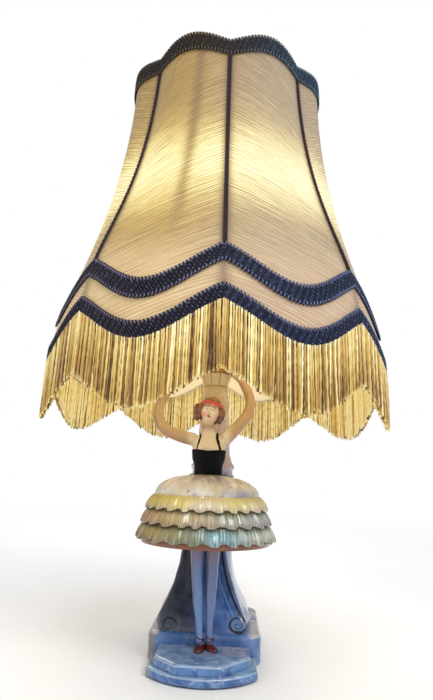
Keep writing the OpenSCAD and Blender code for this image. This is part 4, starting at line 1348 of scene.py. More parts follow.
def tier_paint(bench: Bench) -> Wire:
    """Pale pooled blue, with paler tops and pale edges as painted light, cream towards the left end and dark
    chips.
    """
    at = bench.place()
    x, y, z = at.split()
    _, _, up = bench.facing()
    pool = at.noise(0.07, 4, 0.6, 0.8)
    fleck = at.noise(0.5, 2, 0.6)
    streak = at.scaled(0.4, 1.0, 1.0).noise(0.16, 4, 0.62, 1.4)
    # Painted light: the tops, facing up, take paler and greyer colours than the walls, as a painted sheen.
    flat = up.rise(0.75, 0.95)
    wall = bench.mix(pool.rise(0.36, 0.66), (54, 92, 150), (92, 134, 186))
    top = bench.mix(pool.rise(0.34, 0.64), (88, 118, 158), (134, 160, 190))
    blush = x.rise(4, 20) * y.rise(-80, -62) * flat * pool.rise(0.36, 0.54)
    # Painted highlight along the rounded edges.
    rim = up.hill(0.6, 0.38) * (pool + fleck * 0.3).rise(0.42, 0.62)
    turquoise = z.hill(6.4, 2.2) * fleck.rise(0.5, 0.62) * abs(x).rise(24, 34)
    cream = x.rise(-31, -37) * 0.55
    chip = fleck.rise(0.67, 0.71) * x.rise(24, 30) * z.hill(9, 5)
    return bench.coats(
        bench.mix(flat, wall, top),
        (streak.rise(0.54, 0.72) * 0.5, (190, 206, 226)),
        (streak.rise(0.44, 0.28) * 0.5, (66, 78, 98)), (blush * 0.6, (184, 168, 164)),
        (rim * 0.6, (186, 198, 212)), (turquoise * 0.7, (70, 196, 208)),
        (cream, (158, 150, 126)), (chip, (26, 24, 30)))


def block_paint(bench: Bench) -> Wire:
    """Mid blue, with a painted highlight in cream on its upper corners, painted warm light on its left face
    and dark chips.
    """
    at = bench.place()
    x, y, _ = at.split()
    pool = at.noise(0.06, 4, 0.6, 0.8)
    fleck = at.noise(0.45, 3, 0.6)
    left, _, up = bench.facing()
    # Painted warm light on the faces that look left.
    side = x.rise(-33, -41) * y.rise(10, -44) * left.rise(-1, -0.85)
    # Painted highlight in cream on the corners that face up.
    worn = up.rise(0.15, 0.7) * (pool + fleck * 0.4).rise(0.5, 0.7) * abs(x).rise(30, 38)
    chip = fleck.rise(0.72, 0.78) * abs(x).rise(20, 36)
    return bench.coats(
        bench.mix(pool.rise(0.36, 0.66), (66, 100, 156), (106, 138, 188)),
        (side * 0.85, (132, 118, 90)), (worn * 0.8, (204, 196, 190)), (chip * 0.8, (38, 34, 40)))


class Foot:
    """Glazed block that the pedestal rises from, with a low stepped plinth for the dancer."""

    def __init__(self, sizes: FootSizes) -> None:
        """Makes the three parts of the foot."""
        s = sizes
        block = corner_plan(
            [(-s.wide / 2, -s.front), (s.wide / 2, -s.front), (s.wide / 2, s.back), (-s.wide / 2, s.back)],
            [s.corner] * 4, 10, 12)
        bend = [(s.edge * (1 - math.cos(a)), s.top - s.edge * (1 - math.sin(a)))
                for a in np.linspace(0, math.pi / 2, 7)]
        low = [(0.5, s.felt_top), (0.0, s.felt_top + 0.6), (0.0, s.top - s.edge - 1)]
        piece("foot_block_glazed", slab(block, low + bend + [(s.edge + 1, s.top), (8.5, s.top)]),
              Glaze("block_glaze", block_paint), "blue_glaze", "foot_block")
        past = math.acos(s.plinth_half / s.plinth_r)
        arc = np.linspace(past - math.pi, -past, 41)
        curve = s.plinth_r * np.stack([np.cos(arc), 1 + np.sin(arc)], 1) - (0, s.plinth_front)
        inner = -s.front + s.let_in
        plan = np.concatenate([[(-s.plinth_half, inner)], curve, [(s.plinth_half, inner)]])
        plan = evenly(np.concatenate([plan, plan[:1]]), 170, False)
        worn = Glaze("plinth_glaze", tier_paint)
        piece("plinth_low_glazed",
              slab(plan, [(0.6, s.felt_top), (0, s.felt_top + 0.7), (0, s.low_top - 1.6),
                          (0.45, s.low_top - 0.5), (1.5, s.low_top), (2.6, s.low_top - 0.1)]),
              worn, "blue_glaze", "tier_low")
        half, front = s.plinth_half - s.ledge, s.plinth_front - s.ledge
        left, right = s.high_flat
        high = corner_plan(
            [(-half, -front + half + left), (left, -front), (right, -front), (half, -front + half - right),
             (half, inner), (-half, inner)], [7, 5, 5, 7, 7, 7], 7, 14)
        piece("plinth_top_glazed",
              slab(high, [(-0.3, s.low_top - 0.5), (0, s.low_top + 0.6), (0, s.high_top - 2.2),
                          (0.6, s.high_top - 0.6), (1.9, s.high_top), (3.4, s.high_top)]),
              worn, "blue_glaze", "tier_top")


@dataclass(frozen=True)
class PedestalSizes:
    """Sizes of the scrolled pedestal."""

    low: float = 20.0
    high: float = 134.0
    top_half: float = 15.0
    foot_half: float = 33.5
    face_set: float = -2.5
    splay: float = 4.5
    cheek: float = 3.0
    waist_in: float = 3.5
    flare: float = 60.0
    power: float = 1.6
    scroll: float = 8.0
    top_y: float = 17.5
    front_y: float = 47.0
    back_y: float = 35.0
    cheek_y: float = -20.0


def pedestal_paint(bench: Bench) -> Wire:
    """Blue wash with pale streaks, with painted shadow over the front's left, painted cool light, a little
    darker, on her left side, painted warm light on her right side and painted highlights on the edges.
    """
    at = bench.place()
    x, _, z = at.split()
    side, front, _ = bench.facing()
    run = at.scaled(1, 1, 0.35).noise(0.09, 4, 0.6, 0.8)
    pool = at.noise(0.3, 3, 0.6)
    ahead = front.rise(-0.3, -0.6)
    drift = x + (run - 0.5) * 16.0
    # Painted shadow: the dark olive over the front's left stands for the shadow of the skirt and legs.
    shadow_olive = bench.mix(run.rise(0.3, 0.7), (46, 49, 50), (74, 75, 74))
    violet = drift.hill(-8, 9) * z.hill(30, 22) * ahead
    warm = drift.hill(-14, 6) * z.rise(48, 80) * ahead
    scroll = x.rise(12, 20) * z.rise(36, 27) * ahead
    # Painted cool light: the greyer lavender-blue on the faces that look towards her left (+x).
    right = side.rise(0.2, 0.6)
    # Painted highlight along the edges of her left side.
    edge = side.hill(0.8, 0.12) * (run + pool * 0.5).rise(0.6, 0.76)
    gleam = run.rise(0.6, 0.75) * drift.rise(-6, 6)
    return bench.coats(
        bench.mix(run.rise(0.34, 0.64), (46, 82, 146), (88, 124, 184)),
        (drift.rise(1, -10) * ahead * 0.86, shadow_olive), (violet * 0.5, (62, 70, 122)),
        (warm * 0.6, (104, 78, 68)), (scroll * 0.5, (112, 140, 176)),
        (right * 0.85, bench.mix(run, (62, 86, 138), (104, 120, 164))),
        # Painted warm light in beige on the faces that look towards her right (-x).
        (side.hill(-0.62, 0.3) * 0.7, (138, 126, 102)), (edge * 0.5, (186, 182, 198)),
        (gleam * 0.35, (156, 182, 222)))


class Pedestal:
    """Pedestal that spreads into two scrolls, with black lines that end in volutes."""

    SPREAD = ((20, 1.3), (48, 1.3), (60, 2.7), (72, 4.0), (84, 4.3), (120, 0.5), (134, 0))
    LINE_LEFT = ((-18.6, 104), (-18.8, 90), (-19.6, 78), (-21.4, 68.5), (-23.4, 57.9), (-26.3, 47),
                 (-30.2, 38.2), (-34.0, 31), (-35.6, 26.5), (-34.9, 22.6), (-32.4, 20.8))
    LINE_RIGHT = ((10.4, 104), (10.4, 90), (10.6, 80), (11.0, 72.7), (12.4, 63.4), (15.8, 51.7), (20.0, 42.4),
                  (25.9, 33.0), (30.4, 27.4), (30.2, 23.4), (27.2, 21.5), (22.6, 21.5), (18.8, 24.2),
                  (19.4, 28.2), (23.2, 30.2), (26.8, 28.6), (27.6, 25.4), (25.4, 23.3), (22.8, 24.2),
                  (22.8, 26.3), (24.4, 26.6))
    PALE = ((8.2, 60), (10.5, 51.2), (15.6, 40.7), (21.2, 31.0))
    VOLUTE_LEFT = ((-31.0, 22.6), (-31.2, 25.2), (-29.6, 27.8), (-27.0, 28.7), (-23.6, 27.8), (-21.3, 25.2),
                   (-21.6, 22.4))
    EYE_LEFT = ((-31.0, 22.6), (-28.9, 21.3), (-26.3, 21.6), (-25.3, 23.4), (-26.2, 24.8))

    def __init__(self, sizes: PedestalSizes) -> None:
        """Makes the body and its painted lines."""
        self.sizes = sizes
        z = np.concatenate([np.linspace(sizes.low - 1, sizes.low + sizes.scroll, 16),
                            np.linspace(sizes.low + sizes.scroll, sizes.low + sizes.flare, 34)[1:],
                            np.linspace(sizes.low + sizes.flare, sizes.high, 24)[1:]])
        rows = np.array([self.level(v) for v in z])
        self.body = piece("pedestal_glazed", Draft().grid(rows, ends=True),
                          Glaze("pedestal_glaze", pedestal_paint), "blue_glaze", "pedestal")
        self.lines()

    def level(self, z: float) -> Points:
        """Works out the pedestal's outline.

        Args:
            z: the height that it is wanted at.

        Returns:
            An array of points.
        """
        s = self.sizes
        f = max((s.low + s.flare - z) / (s.flare - s.scroll), 0.0) ** s.power
        f = (f + 1 - math.hypot(f - 1, 0.14)) / 2 + 0.005 * (1 - min(f, 1))
        t = np.clip((s.low + s.scroll - z) / s.scroll, 0, 1)
        tuck = s.scroll * (1 - math.sqrt(1 - 0.75 * t * t))
        front, back = lerp(s.top_y, s.front_y, f), lerp(s.top_y, s.back_y, f)
        a = lerp(s.top_half, s.foot_half, f) - tuck
        b = lerp(s.top_half + s.splay, s.foot_half, f) - s.waist_in * 4 * f * (1 - f)
        spread = eased(self.SPREAD, z)
        left, right = s.face_set - a - spread, s.face_set + a
        cheek = s.cheek * f**3 - 0.6 * tuck
        at = lerp(0.5, (s.cheek_y + front) / (back + front), smooth((f - 0.02) / 0.5))
        middle = lerp(-front, back, at)
        flank, spur = lerp(right, b, at) + 0.8, s.foot_half * f + cheek
        outer = (flank + spur + math.hypot(flank - spur, 1.5)) / 2
        plan = corner_plan(
            [(left, -front), (right, -front), (outer, middle), (b, back), (-b, back),
             (min(left, -b) - 0.8, middle)],
            [3.5, 3.5, 12, 5, 5, 12], 7, 10)
        return np.column_stack([plan, np.full(len(plan), z)])

    def lines(self) -> None:
        """Paints the black lines, the volutes and the pale line beside the right one."""
        skin = Surface(self.body)
        black = Glaze("black_line", plain((14, 16, 26), (30, 34, 52)), 0.2)
        pale = Glaze("pale_line", plain((150, 178, 218), (120, 152, 202)), 0.2)
        dark = Draft()
        brush = {self.LINE_LEFT: (0.8, 0.5), self.LINE_RIGHT: (0.75, 1.0), self.VOLUTE_LEFT: (0.5, 0.75),
                 self.EYE_LEFT: (0.5, 0.35)}
        for line, (thin, thick) in brush.items():
            path = through([(x, -60, z) for x, z in line], 240)
            swell = lerp(thin, thick, np.sin(np.linspace(0, math.pi * 0.85, 240)))
            self.stroke(dark, skin, path, swell * np.sqrt(np.clip(np.linspace(1, -0.1, 240) * 6, 0.15, 1)))
        piece("pedestal_lines", dark, black, "black_glaze", outwards=False)
        light = Draft()
        path = through([(x, -60, z) for x, z in self.PALE], 60)
        self.stroke(light, skin, path, lerp(0.36, 0.24, np.linspace(0, 1, 60)))
        piece("pedestal_pale_line", light, pale, "blue_glaze", outwards=False)

    @staticmethod
    def stroke(draft: Draft, skin: Surface, path: Points, width: Points) -> None:
        """Lays one brush line on the pedestal's front.

        Args:
            draft: what the line is added to.
            skin: the surface that it lies on.
            path: its way in front of the surface.
            width: its half-width at each point.
        """
        on, normals = skin.under(path, (0, 1, 0), 60)
        even = np.ones(9) / 9
        normals = unit(np.stack([np.convolve(np.pad(n, 4, "edge"), even, "valid") for n in normals.T], 1))
        draft.tube(on, width, 6, flat=0.35, up=normals)


@dataclass(frozen=True)
class ColumnSizes:
    """Sizes of the round column and its capital."""

    low: float = 134.0
    shaft: float = 151.0
    neck: float = 209.0
    top: float = 224.0
    foot_r: float = 17.5
    moulding: float = 1.3
    shaft_r: float = 14.5
    neck_r: float = 11.25
    rim_r: float = 14.0
    petals: int = 10
    beads: int = 20
    bead_r: float = 1.1


def column_paint(bench: Bench) -> Wire:
    """Pale honey that turns to pink and lavender towards the foot."""
    at = bench.place()
    _, _, z = at.split()
    cloud = at.noise(0.1, 3, 0.6)
    return bench.coats(
        bench.mix(z.rise(205, 150), (206, 184, 128), (194, 172, 180)),
        (cloud.rise(0.45, 0.75) * 0.6, (236, 226, 214)), (z.rise(146, 136) * 0.5, (176, 168, 206)))


def capital_paint(bench: Bench) -> Wire:
    """Cream petals with brown in the seams and at the rim's edge, and a brown band of painted shade low under
    the cup, over the beads.
    """
    at = bench.place()
    x, y, z = at.split()
    cloud = at.noise(0.35, 3, 0.6)
    turn = bench.math("ARCTAN2", y, x)
    seam = bench.math("COSINE", turn * 10.0).rise(0.88, 1)
    rim = (z + cloud * 1.5).rise(222.4, 223.6)
    return bench.coats(
        bench.mix(cloud, (196, 166, 106), (226, 206, 154)),
        (seam * z.rise(211, 214) * 0.75, (104, 70, 34)),
        # Painted shade: the brown band at the beads' top, under the petals.
        (z.hill(211.2, 1.1) * 0.6, (120, 84, 44)), (rim * 0.7, (92, 60, 32)))


class Column:
    """Round column with a moulded foot and a capital of petals over a string of beads."""

    def __init__(self, sizes: ColumnSizes) -> None:
        """Makes the column and its capital."""
        s = self.sizes = sizes
        wash = Glaze("column_glaze", column_paint)
        rise = s.shaft - s.low
        swell = s.foot_r + s.moulding
        foot = [(s.foot_r - 0.4, 0), (s.foot_r, 0.03), (s.foot_r, 0.2), (swell, 0.34), (swell, 0.44),
                (s.foot_r - 0.4, 0.56), (s.foot_r - 0.8, 0.62), (s.shaft_r, 1.0), (s.shaft_r - 0.5, 1.02)]
        self.turned("column_foot", [(r, s.low + rise * t) for r, t in foot], wash)
        shaft = [(s.shaft_r - 0.3, s.shaft - 0.4), (s.shaft_r, s.shaft + 0.5),
                 (s.neck_r + 0.3, s.neck - 4), (s.neck_r, s.neck), (s.neck_r - 1, s.neck + 0.4)]
        self.turned("column_shaft", shaft, wash)
        self.capital()

    @staticmethod
    def turned(node: str, profile: Rows, wash: Finish) -> None:
        """Makes a round piece from (radius, height) pairs."""
        fine = through(profile, 60)
        rows = round_axis(fine[:, :1], ring(72), fine[:, 1:])
        piece(f"{node}_glazed", Draft().grid(rows, ends=True), wash, "column_glaze", node)

    def capital(self) -> None:
        """Makes the petalled cup with its rim, seams and beads."""
        s = self.sizes
        rows = [(s.neck_r - 1, 0.0), (s.neck_r - 0.4, 0.04), (s.neck_r - 0.3, 0.16), (s.neck_r + 0.4, 0.4),
                (lerp(s.neck_r, s.rim_r, 0.6), 0.66), (lerp(s.neck_r, s.rim_r, 0.95), 0.84), (s.rim_r, 0.92),
                (s.rim_r - 0.4, 0.985), (s.rim_r - 1.4, 1.0), (s.rim_r - 2.6, 0.985)]
        fine = through(rows, 46)
        a = ring(s.petals * 20)
        height = s.top - s.neck
        lobe = np.abs(np.sin(s.petals * (a + math.pi / 2) / 2)) ** 0.5
        share = smooth((fine[:, 1:] - 0.12) / 0.5)
        r = fine[:, :1] - 0.9 * share * (1 - lobe) + 0.15 * share
        z = s.neck + height * (fine[:, 1:] - 0.05 * smooth((fine[:, 1:] - 0.7) / 0.3) * (1 - lobe))
        honey = Glaze("capital_glaze", capital_paint)
        piece("capital_glazed", Draft().grid(round_axis(r, a, z), ends=True),
              honey, "capital_glaze", "capital")
        beads = Draft()
        for b in ring(s.beads):
            beads.ball(round_axis(s.neck_r * 0.93, b, s.neck + s.bead_r), (s.bead_r,) * 3, 12)
        piece("capital_beads", beads, honey, "capital_glaze", "bead_ring")


# ---- the dancer


@dataclass(frozen=True)
class DancerSizes:
    """Where the dancer stands and how she is built; heights are above the table."""

    x: float = -1.5
    y: float = -58.0
    floor: float = 12.5
    hem: float = 85.0
    dome: float = 117.5
    waist: float = 133.5
    chest: float = 152.0
    shoulder: float = 160.5
    chin: float = 171.5
    head: Triple = (7.75, 9.0, 10.0)
    tilt: float = 10.0
    nod: float = 1.8
    hem_r: float = 48.0
    dome_r: float = 39.5
    hem_band: float = 4.0
    flutes: int = 24
    capital_top: float = 224.0


def stocking_paint(bench: Bench) -> Wire:
    """Blue stockings, with a painted highlight on the faces that look forward, lavender painted cool light on
    her left leg, painted shade high on the faces towards her right, and pinkish under the skirt.
    """
    at = bench.place()
    x, _, z = at.split()
    side, front, _ = bench.facing()
    run = at.scaled(1, 1, 0.3).noise(0.4, 3, 0.6)
    return bench.coats(
        bench.mix(run, (54, 94, 156), (90, 132, 188)),
        # Painted highlight on the faces that look forward, then painted cool light in lavender on her left
        # leg.
        (front.rise(-0.6, -1) * 0.35, (128, 158, 200)), (x.rise(-1.5, 0.5) * 0.45, (98, 98, 138)),
        # Painted shade, reddish, high on the faces that look towards her right.
        (side.rise(-0.2, -0.8) * z.rise(36, 52) * 0.6, (96, 70, 74)),
        (z.rise(58, 86) * 0.75, (132, 98, 100)))


def dome_paint(bench: Bench) -> Wire:
    """White and cream with lavender painted shade in the folds, lavender painted cool light on the lower
    right, darker just above the top ruffle, and a brown hem.
    """
    at = bench.place()
    x, y, z = at.split()
    turn = bench.math("ARCTAN2", y + 58.0, x + 1.5)
    cloud = at.noise(0.07, 2, 0.5)
    wash = bench.joined(turn * 3.2, z * 0.07, 0.0).noise(1.0, 3, 0.5, 0.6)
    # Painted cool light in lavender on the lower right of the front.
    blue = x.hill(22, 20) * z.rise(126, 119) * y.rise(-58, -74)
    # A darker brownish band just above the top ruffle.
    darkening = z.rise(120.5, 118) * 0.35
    right, back = x + 1.5, y + 58.0
    inside = bench.math("SQRT", right * right + back * back).rise(45.6, 44.6)
    return bench.coats(
        bench.mix(cloud.rise(0.35, 0.65), (206, 195, 174), (228, 223, 214)),
        # Painted shade: lavender streaks running out from the waist stand for the shade in the folds.
        (wash.rise(0.46, 0.3) * 0.5, (152, 148, 172)),
        (wash.rise(0.56, 0.7) * 0.45, (198, 186, 140)), (blue * 0.6, (140, 148, 196)),
        (darkening, (150, 136, 100)), (z.rise(89.6, 88), (122, 70, 42)),
        (inside * z.rise(116, 112), (170, 150, 140)))


def ruffle_paint(tier: int, low: float, top: float) -> Callable[[Bench], Wire]:
    """Paint of one ruffle: washes from her right to her left, in upright strokes, with painted shade at its
    foot, underneath, over all of it and below the tier above.
    """
    washes_of = (
        ((0.08, (214, 190, 92)), (0.3, (240, 226, 138)), (0.5, (238, 226, 200)),
         (0.72, (240, 228, 156)), (0.92, (232, 222, 190))),
        ((0.08, (196, 152, 92)), (0.28, (214, 190, 124)), (0.48, (208, 190, 160)),
         (0.7, (184, 188, 172)), (0.92, (192, 190, 200))),
        ((0.08, (186, 164, 92)), (0.3, (164, 166, 120)), (0.48, (142, 162, 146)),
         (0.62, (122, 196, 220)), (0.78, (206, 224, 228)), (0.95, (232, 236, 220))),
    )[tier]
    top_wash = ((238, 204, 72), (66, 138, 78), (60, 140, 96))[tier]
    # Colours of the painted shade laid in strokes at each ruffle's foot.
    low_shade = ((176, 152, 132), (140, 124, 116), (98, 104, 88))[tier]

    def paint(bench: Bench) -> Wire:
        """Lays the washes; see Glaze."""
        at = bench.place()
        x, y, z = at.split()
        turn = bench.math("ARCTAN2", y + 58.0, x + 1.5)
        strokes = bench.joined(turn * 46.0, z * 0.06, 0.0).noise(1.0, 3, 0.6)
        washes = bench.joined(turn * 5.0, z * 0.05, float(tier)).noise(1.0, 3, 0.6)
        across = x / 92.0 + 0.5 + (washes - 0.5) * 0.3
        height = (z - low) / (top - low)
        head = strokes.rise(0.56, 0.42) * height.rise(0.3, 0.8)
        if tier:
            head = head * x.rise(-12, 12)
        # Painted shade: strokes at the ruffle's foot.
        foot = strokes.rise(0.62, 0.4) * height.rise(0.5, 0.08)
        _, _, up = bench.facing()
        shadow = height.rise(0.58, 0.9) * (0.85 if tier else 0.15)
        return bench.coats(
            bench.ramp(across, washes_of),
            (strokes.rise(0.54, 0.68) * 0.6, (246, 246, 238)), (head * 0.75, top_wash),
            # Painted shade in strokes at the foot, and on the faces that look down.
            (foot * 0.75, low_shade), (up.rise(-0.35, -0.75) * 0.85, (92, 76, 54)),
            # Painted shade over the whole ruffle, darker on the lower tiers, and the shadow below the tier
            # above.
            (0.24 + 0.1 * tier, (88, 78, 60)), (shadow, (72, 62, 42)))

    return paint


def flesh_paint(bench: Bench) -> Wire:
    """Cream with ochre arms, and painted shade on faces that look down, most under the arms, on faces towards
    her right and under the chin.
    """
    at = bench.place()
    x, _, z = at.split()
    side, _, up = bench.facing()
    cloud = at.noise(0.12, 3, 0.6)
    arms = abs(x + 1.5).rise(13, 20) * z.rise(222, 208)
    shade = up.rise(0.35, -0.8) * (0.45 + arms * 0.25)
    # Painted shade on the faces that look towards her right (-x).
    side_shade = (side + (cloud - 0.5) * 0.6).rise(-0.15, -0.85) * (0.2 + arms * 0.4)
    # Painted shadow under the chin.
    chin = z.hill(170, 5) * abs(x + 3.0).rise(9, 6)
    return bench.coats(
        bench.mix(cloud, (238, 214, 168), (250, 234, 198)),
        (arms * 0.75, (192, 146, 84)), (shade, (158, 102, 50)), (side_shade, (138, 96, 56)),
        (chin * 0.65, (160, 106, 56)))


def black_paint(bench: Bench) -> Wire:
    """Dense black with faint brown where it thins."""
    thin = bench.place().noise(0.3, 4, 0.6)
    return bench.mix(thin.rise(0.6, 0.8), (5, 5, 6), (20, 15, 13))


class Dancer:
    """The dancer in every part but her head; see Head.

    RUFFLE is a ruffle's section: share of the way down, distance out and share of the flutes.
    """

    LEFT_ARM = ((10.4, -57.5, 160.5), (19.0, -55, 169.5), (27.5, -49, 181), (30.2, -43, 193),
                (27.6, -35, 204), (21.6, -24, 214.5), (15.4, -13.5, 221.5))
    RIGHT_ARM = ((-13.4, -57.5, 160), (-25, -57, 162.5), (-37.5, -55.5, 168), (-43.2, -52.5, 177),
                 (-43.2, -48, 188), (-39, -40, 200), (-29, -27, 213), (-15.6, -14, 222))
    FLOWERS = ((-108.0, 122.0), (-94.0, 129.0), (-60.0, 126.0), (-141.0, 123.5), (-24.0, 121.5),
               (12.0, 128.0), (48.0, 122.5), (84.0, 127.0), (121.0, 122.0), (163.0, 127.5))

    RUFFLE = ((0, -1.5, 0), (0, 0.1, 0.1), (0.04, 0.8, 0.3), (0.12, 1.4, 0.5), (0.22, 1.9, 0.7),
              (0.34, 2.3, 0.85), (0.46, 2.7, 0.95), (0.58, 3.0, 1.0), (0.7, 3.2, 1.05), (0.8, 3.3, 1.1),
              (0.89, 3.2, 1.15), (0.96, 2.9, 1.15), (1.0, 2.3, 1.1), (1.0, 1.5, 0.9), (0.94, 0.6, 0.4),
              (0.84, -1.2, 0))

    def __init__(self, sizes: DancerSizes) -> None:
        """Makes the dancer from the shoes up."""
        self.sizes = sizes
        self.legs()
        self.shoes()
        self.skirt()
        self.body()
        self.bodice()
        Head(sizes)

    def leg_x(self, side: int, t: Points) -> Points:
        """Middle of a leg at share t of its height; side is +1 for her left."""
        apart = eased([(0, 6.8), (0.07, 7.0), (0.27, 9.2), (0.45, 11.2), (0.7, 13.2), (1, 14.0)], t)
        return self.sizes.x + side * apart / 2 + 2.4 * (1 - t) ** 3

    def legs(self) -> None:
        """Makes both legs, with knees and calves."""
        s = self.sizes
        t = np.linspace(0, 1, 60)[:, None]
        z = lerp(s.floor + 2.6, s.waist - 6, t)
        girth = eased([(0, 2.8), (0.06, 2.65), (0.14, 3.0), (0.27, 4.3), (0.36, 4.5), (0.44, 4.4), (0.5, 4.9),
                       (0.6, 5.2), (0.95, 6.3), (1, 6.3)], t)
        back = eased([(0, 0), (0.1, 0.2), (0.27, 0.9), (0.47, -0.3), (0.7, 0.2), (1, 0)], t)
        a = ring(28)
        shin = 1 + 0.07 * np.cos(2 * a)
        blue = Glaze("stocking_glaze", stocking_paint)
        for side, name in ((1, "left"), (-1, "right")):
            x = self.leg_x(side, t) + girth * np.cos(a) * 0.94
            y = s.y + back + 0.9 * side * (1 - t) + girth * np.sin(a) * shin
            rows = np.stack([x, y, z + 0 * a], -1)
            piece(f"{name}_leg_glazed", Draft().grid(rows, ends=True),
                  blue, "stocking_glaze", f"{name}_leg")

    def shoes(self) -> None:
        """Makes both ballet shoes with their ankle ribbons."""
        s = self.sizes
        wine = Glaze("shoe_glaze", plain((92, 30, 26), (56, 20, 18)))
        for side, name in ((1, "left"), (-1, "right")):
            x, y = self.leg_x(side, 0.0), s.y + side * 0.9
            out = math.radians(28 if side > 0 else -6)
            t = np.linspace(0, 1, 30)[:, None]
            wide = 3.7 * eased([(0, 0.35), (0.1, 0.82), (0.3, 0.95), (0.6, 1.0), (0.85, 0.82), (1, 0.25)], t)
            tall = eased([(0, 3.2), (0.2, 4.8), (0.35, 4.4), (0.6, 3.1), (0.9, 2.2), (1, 1.0)], t)
            a = ring(24)
            up = np.sin(a)
            across, along = wide * np.cos(a), 4.6 - 14.5 * t + 0 * a
            rows = np.stack([x + across * math.cos(out) - along * math.sin(out),
                             y + across * math.sin(out) + along * math.cos(out),
                             s.floor + np.where(up > 0, tall, 0.3) * up + 0.3], -1)
            draft = Draft().grid(rows, ends=True)
            for k in range(2):
                level = s.floor + 5.2 + 2.4 * k + 0.9 * np.cos(ring(24) + k * math.pi)
                draft.tube(round_axis(3.0 - 0.1 * k, ring(24), level, x, y), 0.36, 6, loop=True)
            piece(f"{name}_shoe_glazed", draft, wine, "shoe_glaze", f"{name}_shoe")

    def skirt_r(self, z: Points) -> Points:
        """Radius of the skirt's body at a height."""
        s = self.sizes
        z = np.asarray(z, float)
        low = lerp(s.hem_r, s.dome_r, np.clip((z - s.hem - s.hem_band) / (s.dome - s.hem - s.hem_band), 0, 1))
        up = np.clip((z - s.dome) / (s.waist - s.dome), 0, 1)
        return np.where(z <= s.dome, low, s.dome_r * (1 - up**2.3) ** (1 / 2.3))

    def about(self, r: Points, a: Points, z: Points) -> Points:
        """Points round the dancer's own axis."""
        return round_axis(r, a, z, self.sizes.x, self.sizes.y)

    def skirt(self) -> None:
        """Makes the folded dome, the three ruffles and the hem."""
        s = self.sizes
        a = ring(480)
        z = np.concatenate([s.waist - (s.waist - s.dome) * (1 - np.linspace(0, 1, 34)[::-1] ** 1.6),
                            np.linspace(s.dome, s.hem, 12)[1:]])[:, None]
        share = smooth((s.waist - z) / 2.5) * smooth((z - s.dome + 8) / 12)
        sweep = a + 0.16 * np.sin((s.waist - z) * 0.18 + 2 * a)
        gather = smooth((z - s.dome) / 12)
        folds = (-0.085 * np.abs(waves(sweep, 3, (7, 9, 12))) ** 0.8
                 - 0.03 * gather * np.abs(waves(sweep, 8, (19, 27))))
        puff = 1 + (folds + 0.02) * share
        outer = self.about(np.maximum(self.skirt_r(z) * puff, 9.6), a,
                           np.where(z > s.dome, s.dome + (z - s.dome) * puff, z))
        under = self.about(np.array([s.hem_r - 1, s.hem_r - 4.2, s.hem_r - 4.6, 40, 34, 20, 2.0])[:, None], a,
                           np.array([s.hem - 0.2, s.hem, s.hem + 1.5, 106, 117, 126, 128.5])[:, None])
        white = Glaze("skirt_glaze", dome_paint)
        dome = piece("skirt_glazed", Draft().grid(np.concatenate([outer, under]), ends=True),
                     white, "skirt_glaze", "skirt")
        self.flowers(Surface(dome))
        tall = (s.dome - s.hem - s.hem_band + 2) / 3
        bands = ((s.dome - tall + 1.7, s.dome + 1.2), (s.dome - 2 * tall + 1.7, s.dome - tall + 2.6),
                 (s.hem + s.hem_band - 1.0, s.dome - 2 * tall + 2.6))
        slots = (("ruffle_top", "yellow_glaze"), ("ruffle_mid", "mauve_glaze"),
                 ("ruffle_hem", "turquoise_glaze"))
        for tier, ((low, top), (node, slot)) in enumerate(zip(bands, slots)):
            paint = Glaze(f"{node}_paint", ruffle_paint(tier, low, top))
            piece(f"{node}_glazed", self.ruffle(low, top, 20 + tier), paint, slot, node)

    def flowers(self, skin: Surface) -> None:
        """Dots the dome with small flowers of three petals."""
        s, dots = self.sizes, Draft()
        for k, (turn, z) in enumerate(self.FLOWERS):
            a = math.radians(turn)
            for j in range(3):
                side, up = 0.95 * math.cos(TURN * j / 3 + k), 0.95 * math.sin(TURN * j / 3 + k)
                across = np.array((-math.sin(a), math.cos(a), 0)) * side
                start = self.about(self.skirt_r(z), a, z + up) + across
                on, normal = skin.under(start[None], (-math.cos(a), -math.sin(a), -0.3), 20)
                lay = Vector(normal[0]).to_track_quat("Z", "Y").to_matrix().to_4x4()
                dots.ball(on[0], (0.5, 0.5, 0.18), 8, lay)
        paint = Glaze("flower_paint", plain((118, 36, 34), (74, 24, 28)), 0.25)
        piece("skirt_flowers", dots, paint, "skirt_glaze")

    def ruffle(self, low: float, top: float, seed: int) -> Draft:
        """Makes a gathered ruffle.

        Args:
            low, top: its heights.
            seed: varies its flutes.

        Returns:
            The ruffle.
        """
        s = self.sizes
        a = ring(s.flutes * 30)
        drift = a + 0.06 * waves(a, seed, (3, 5, 8))
        wave = np.cos(s.flutes * drift + seed)
        wave = np.sign(wave) * np.abs(wave) ** 0.75 * (1 + 0.3 * waves(a, seed + 9, (5, 7, 11)))
        fine = 0.16 * np.sin(s.flutes * 4 * drift + 1.3 * seed)
        rows = []
        for t, out, swing in self.RUFFLE:
            level = lerp(top, low, t)
            z = level - 0.75 * swing * wave * smooth((t - 0.4) / 0.6)
            rows.append(self.about(self.skirt_r(level) + out + (1.15 * wave + fine) * swing, a, z))
        return Draft().grid(np.array(rows), loop_rows=True)

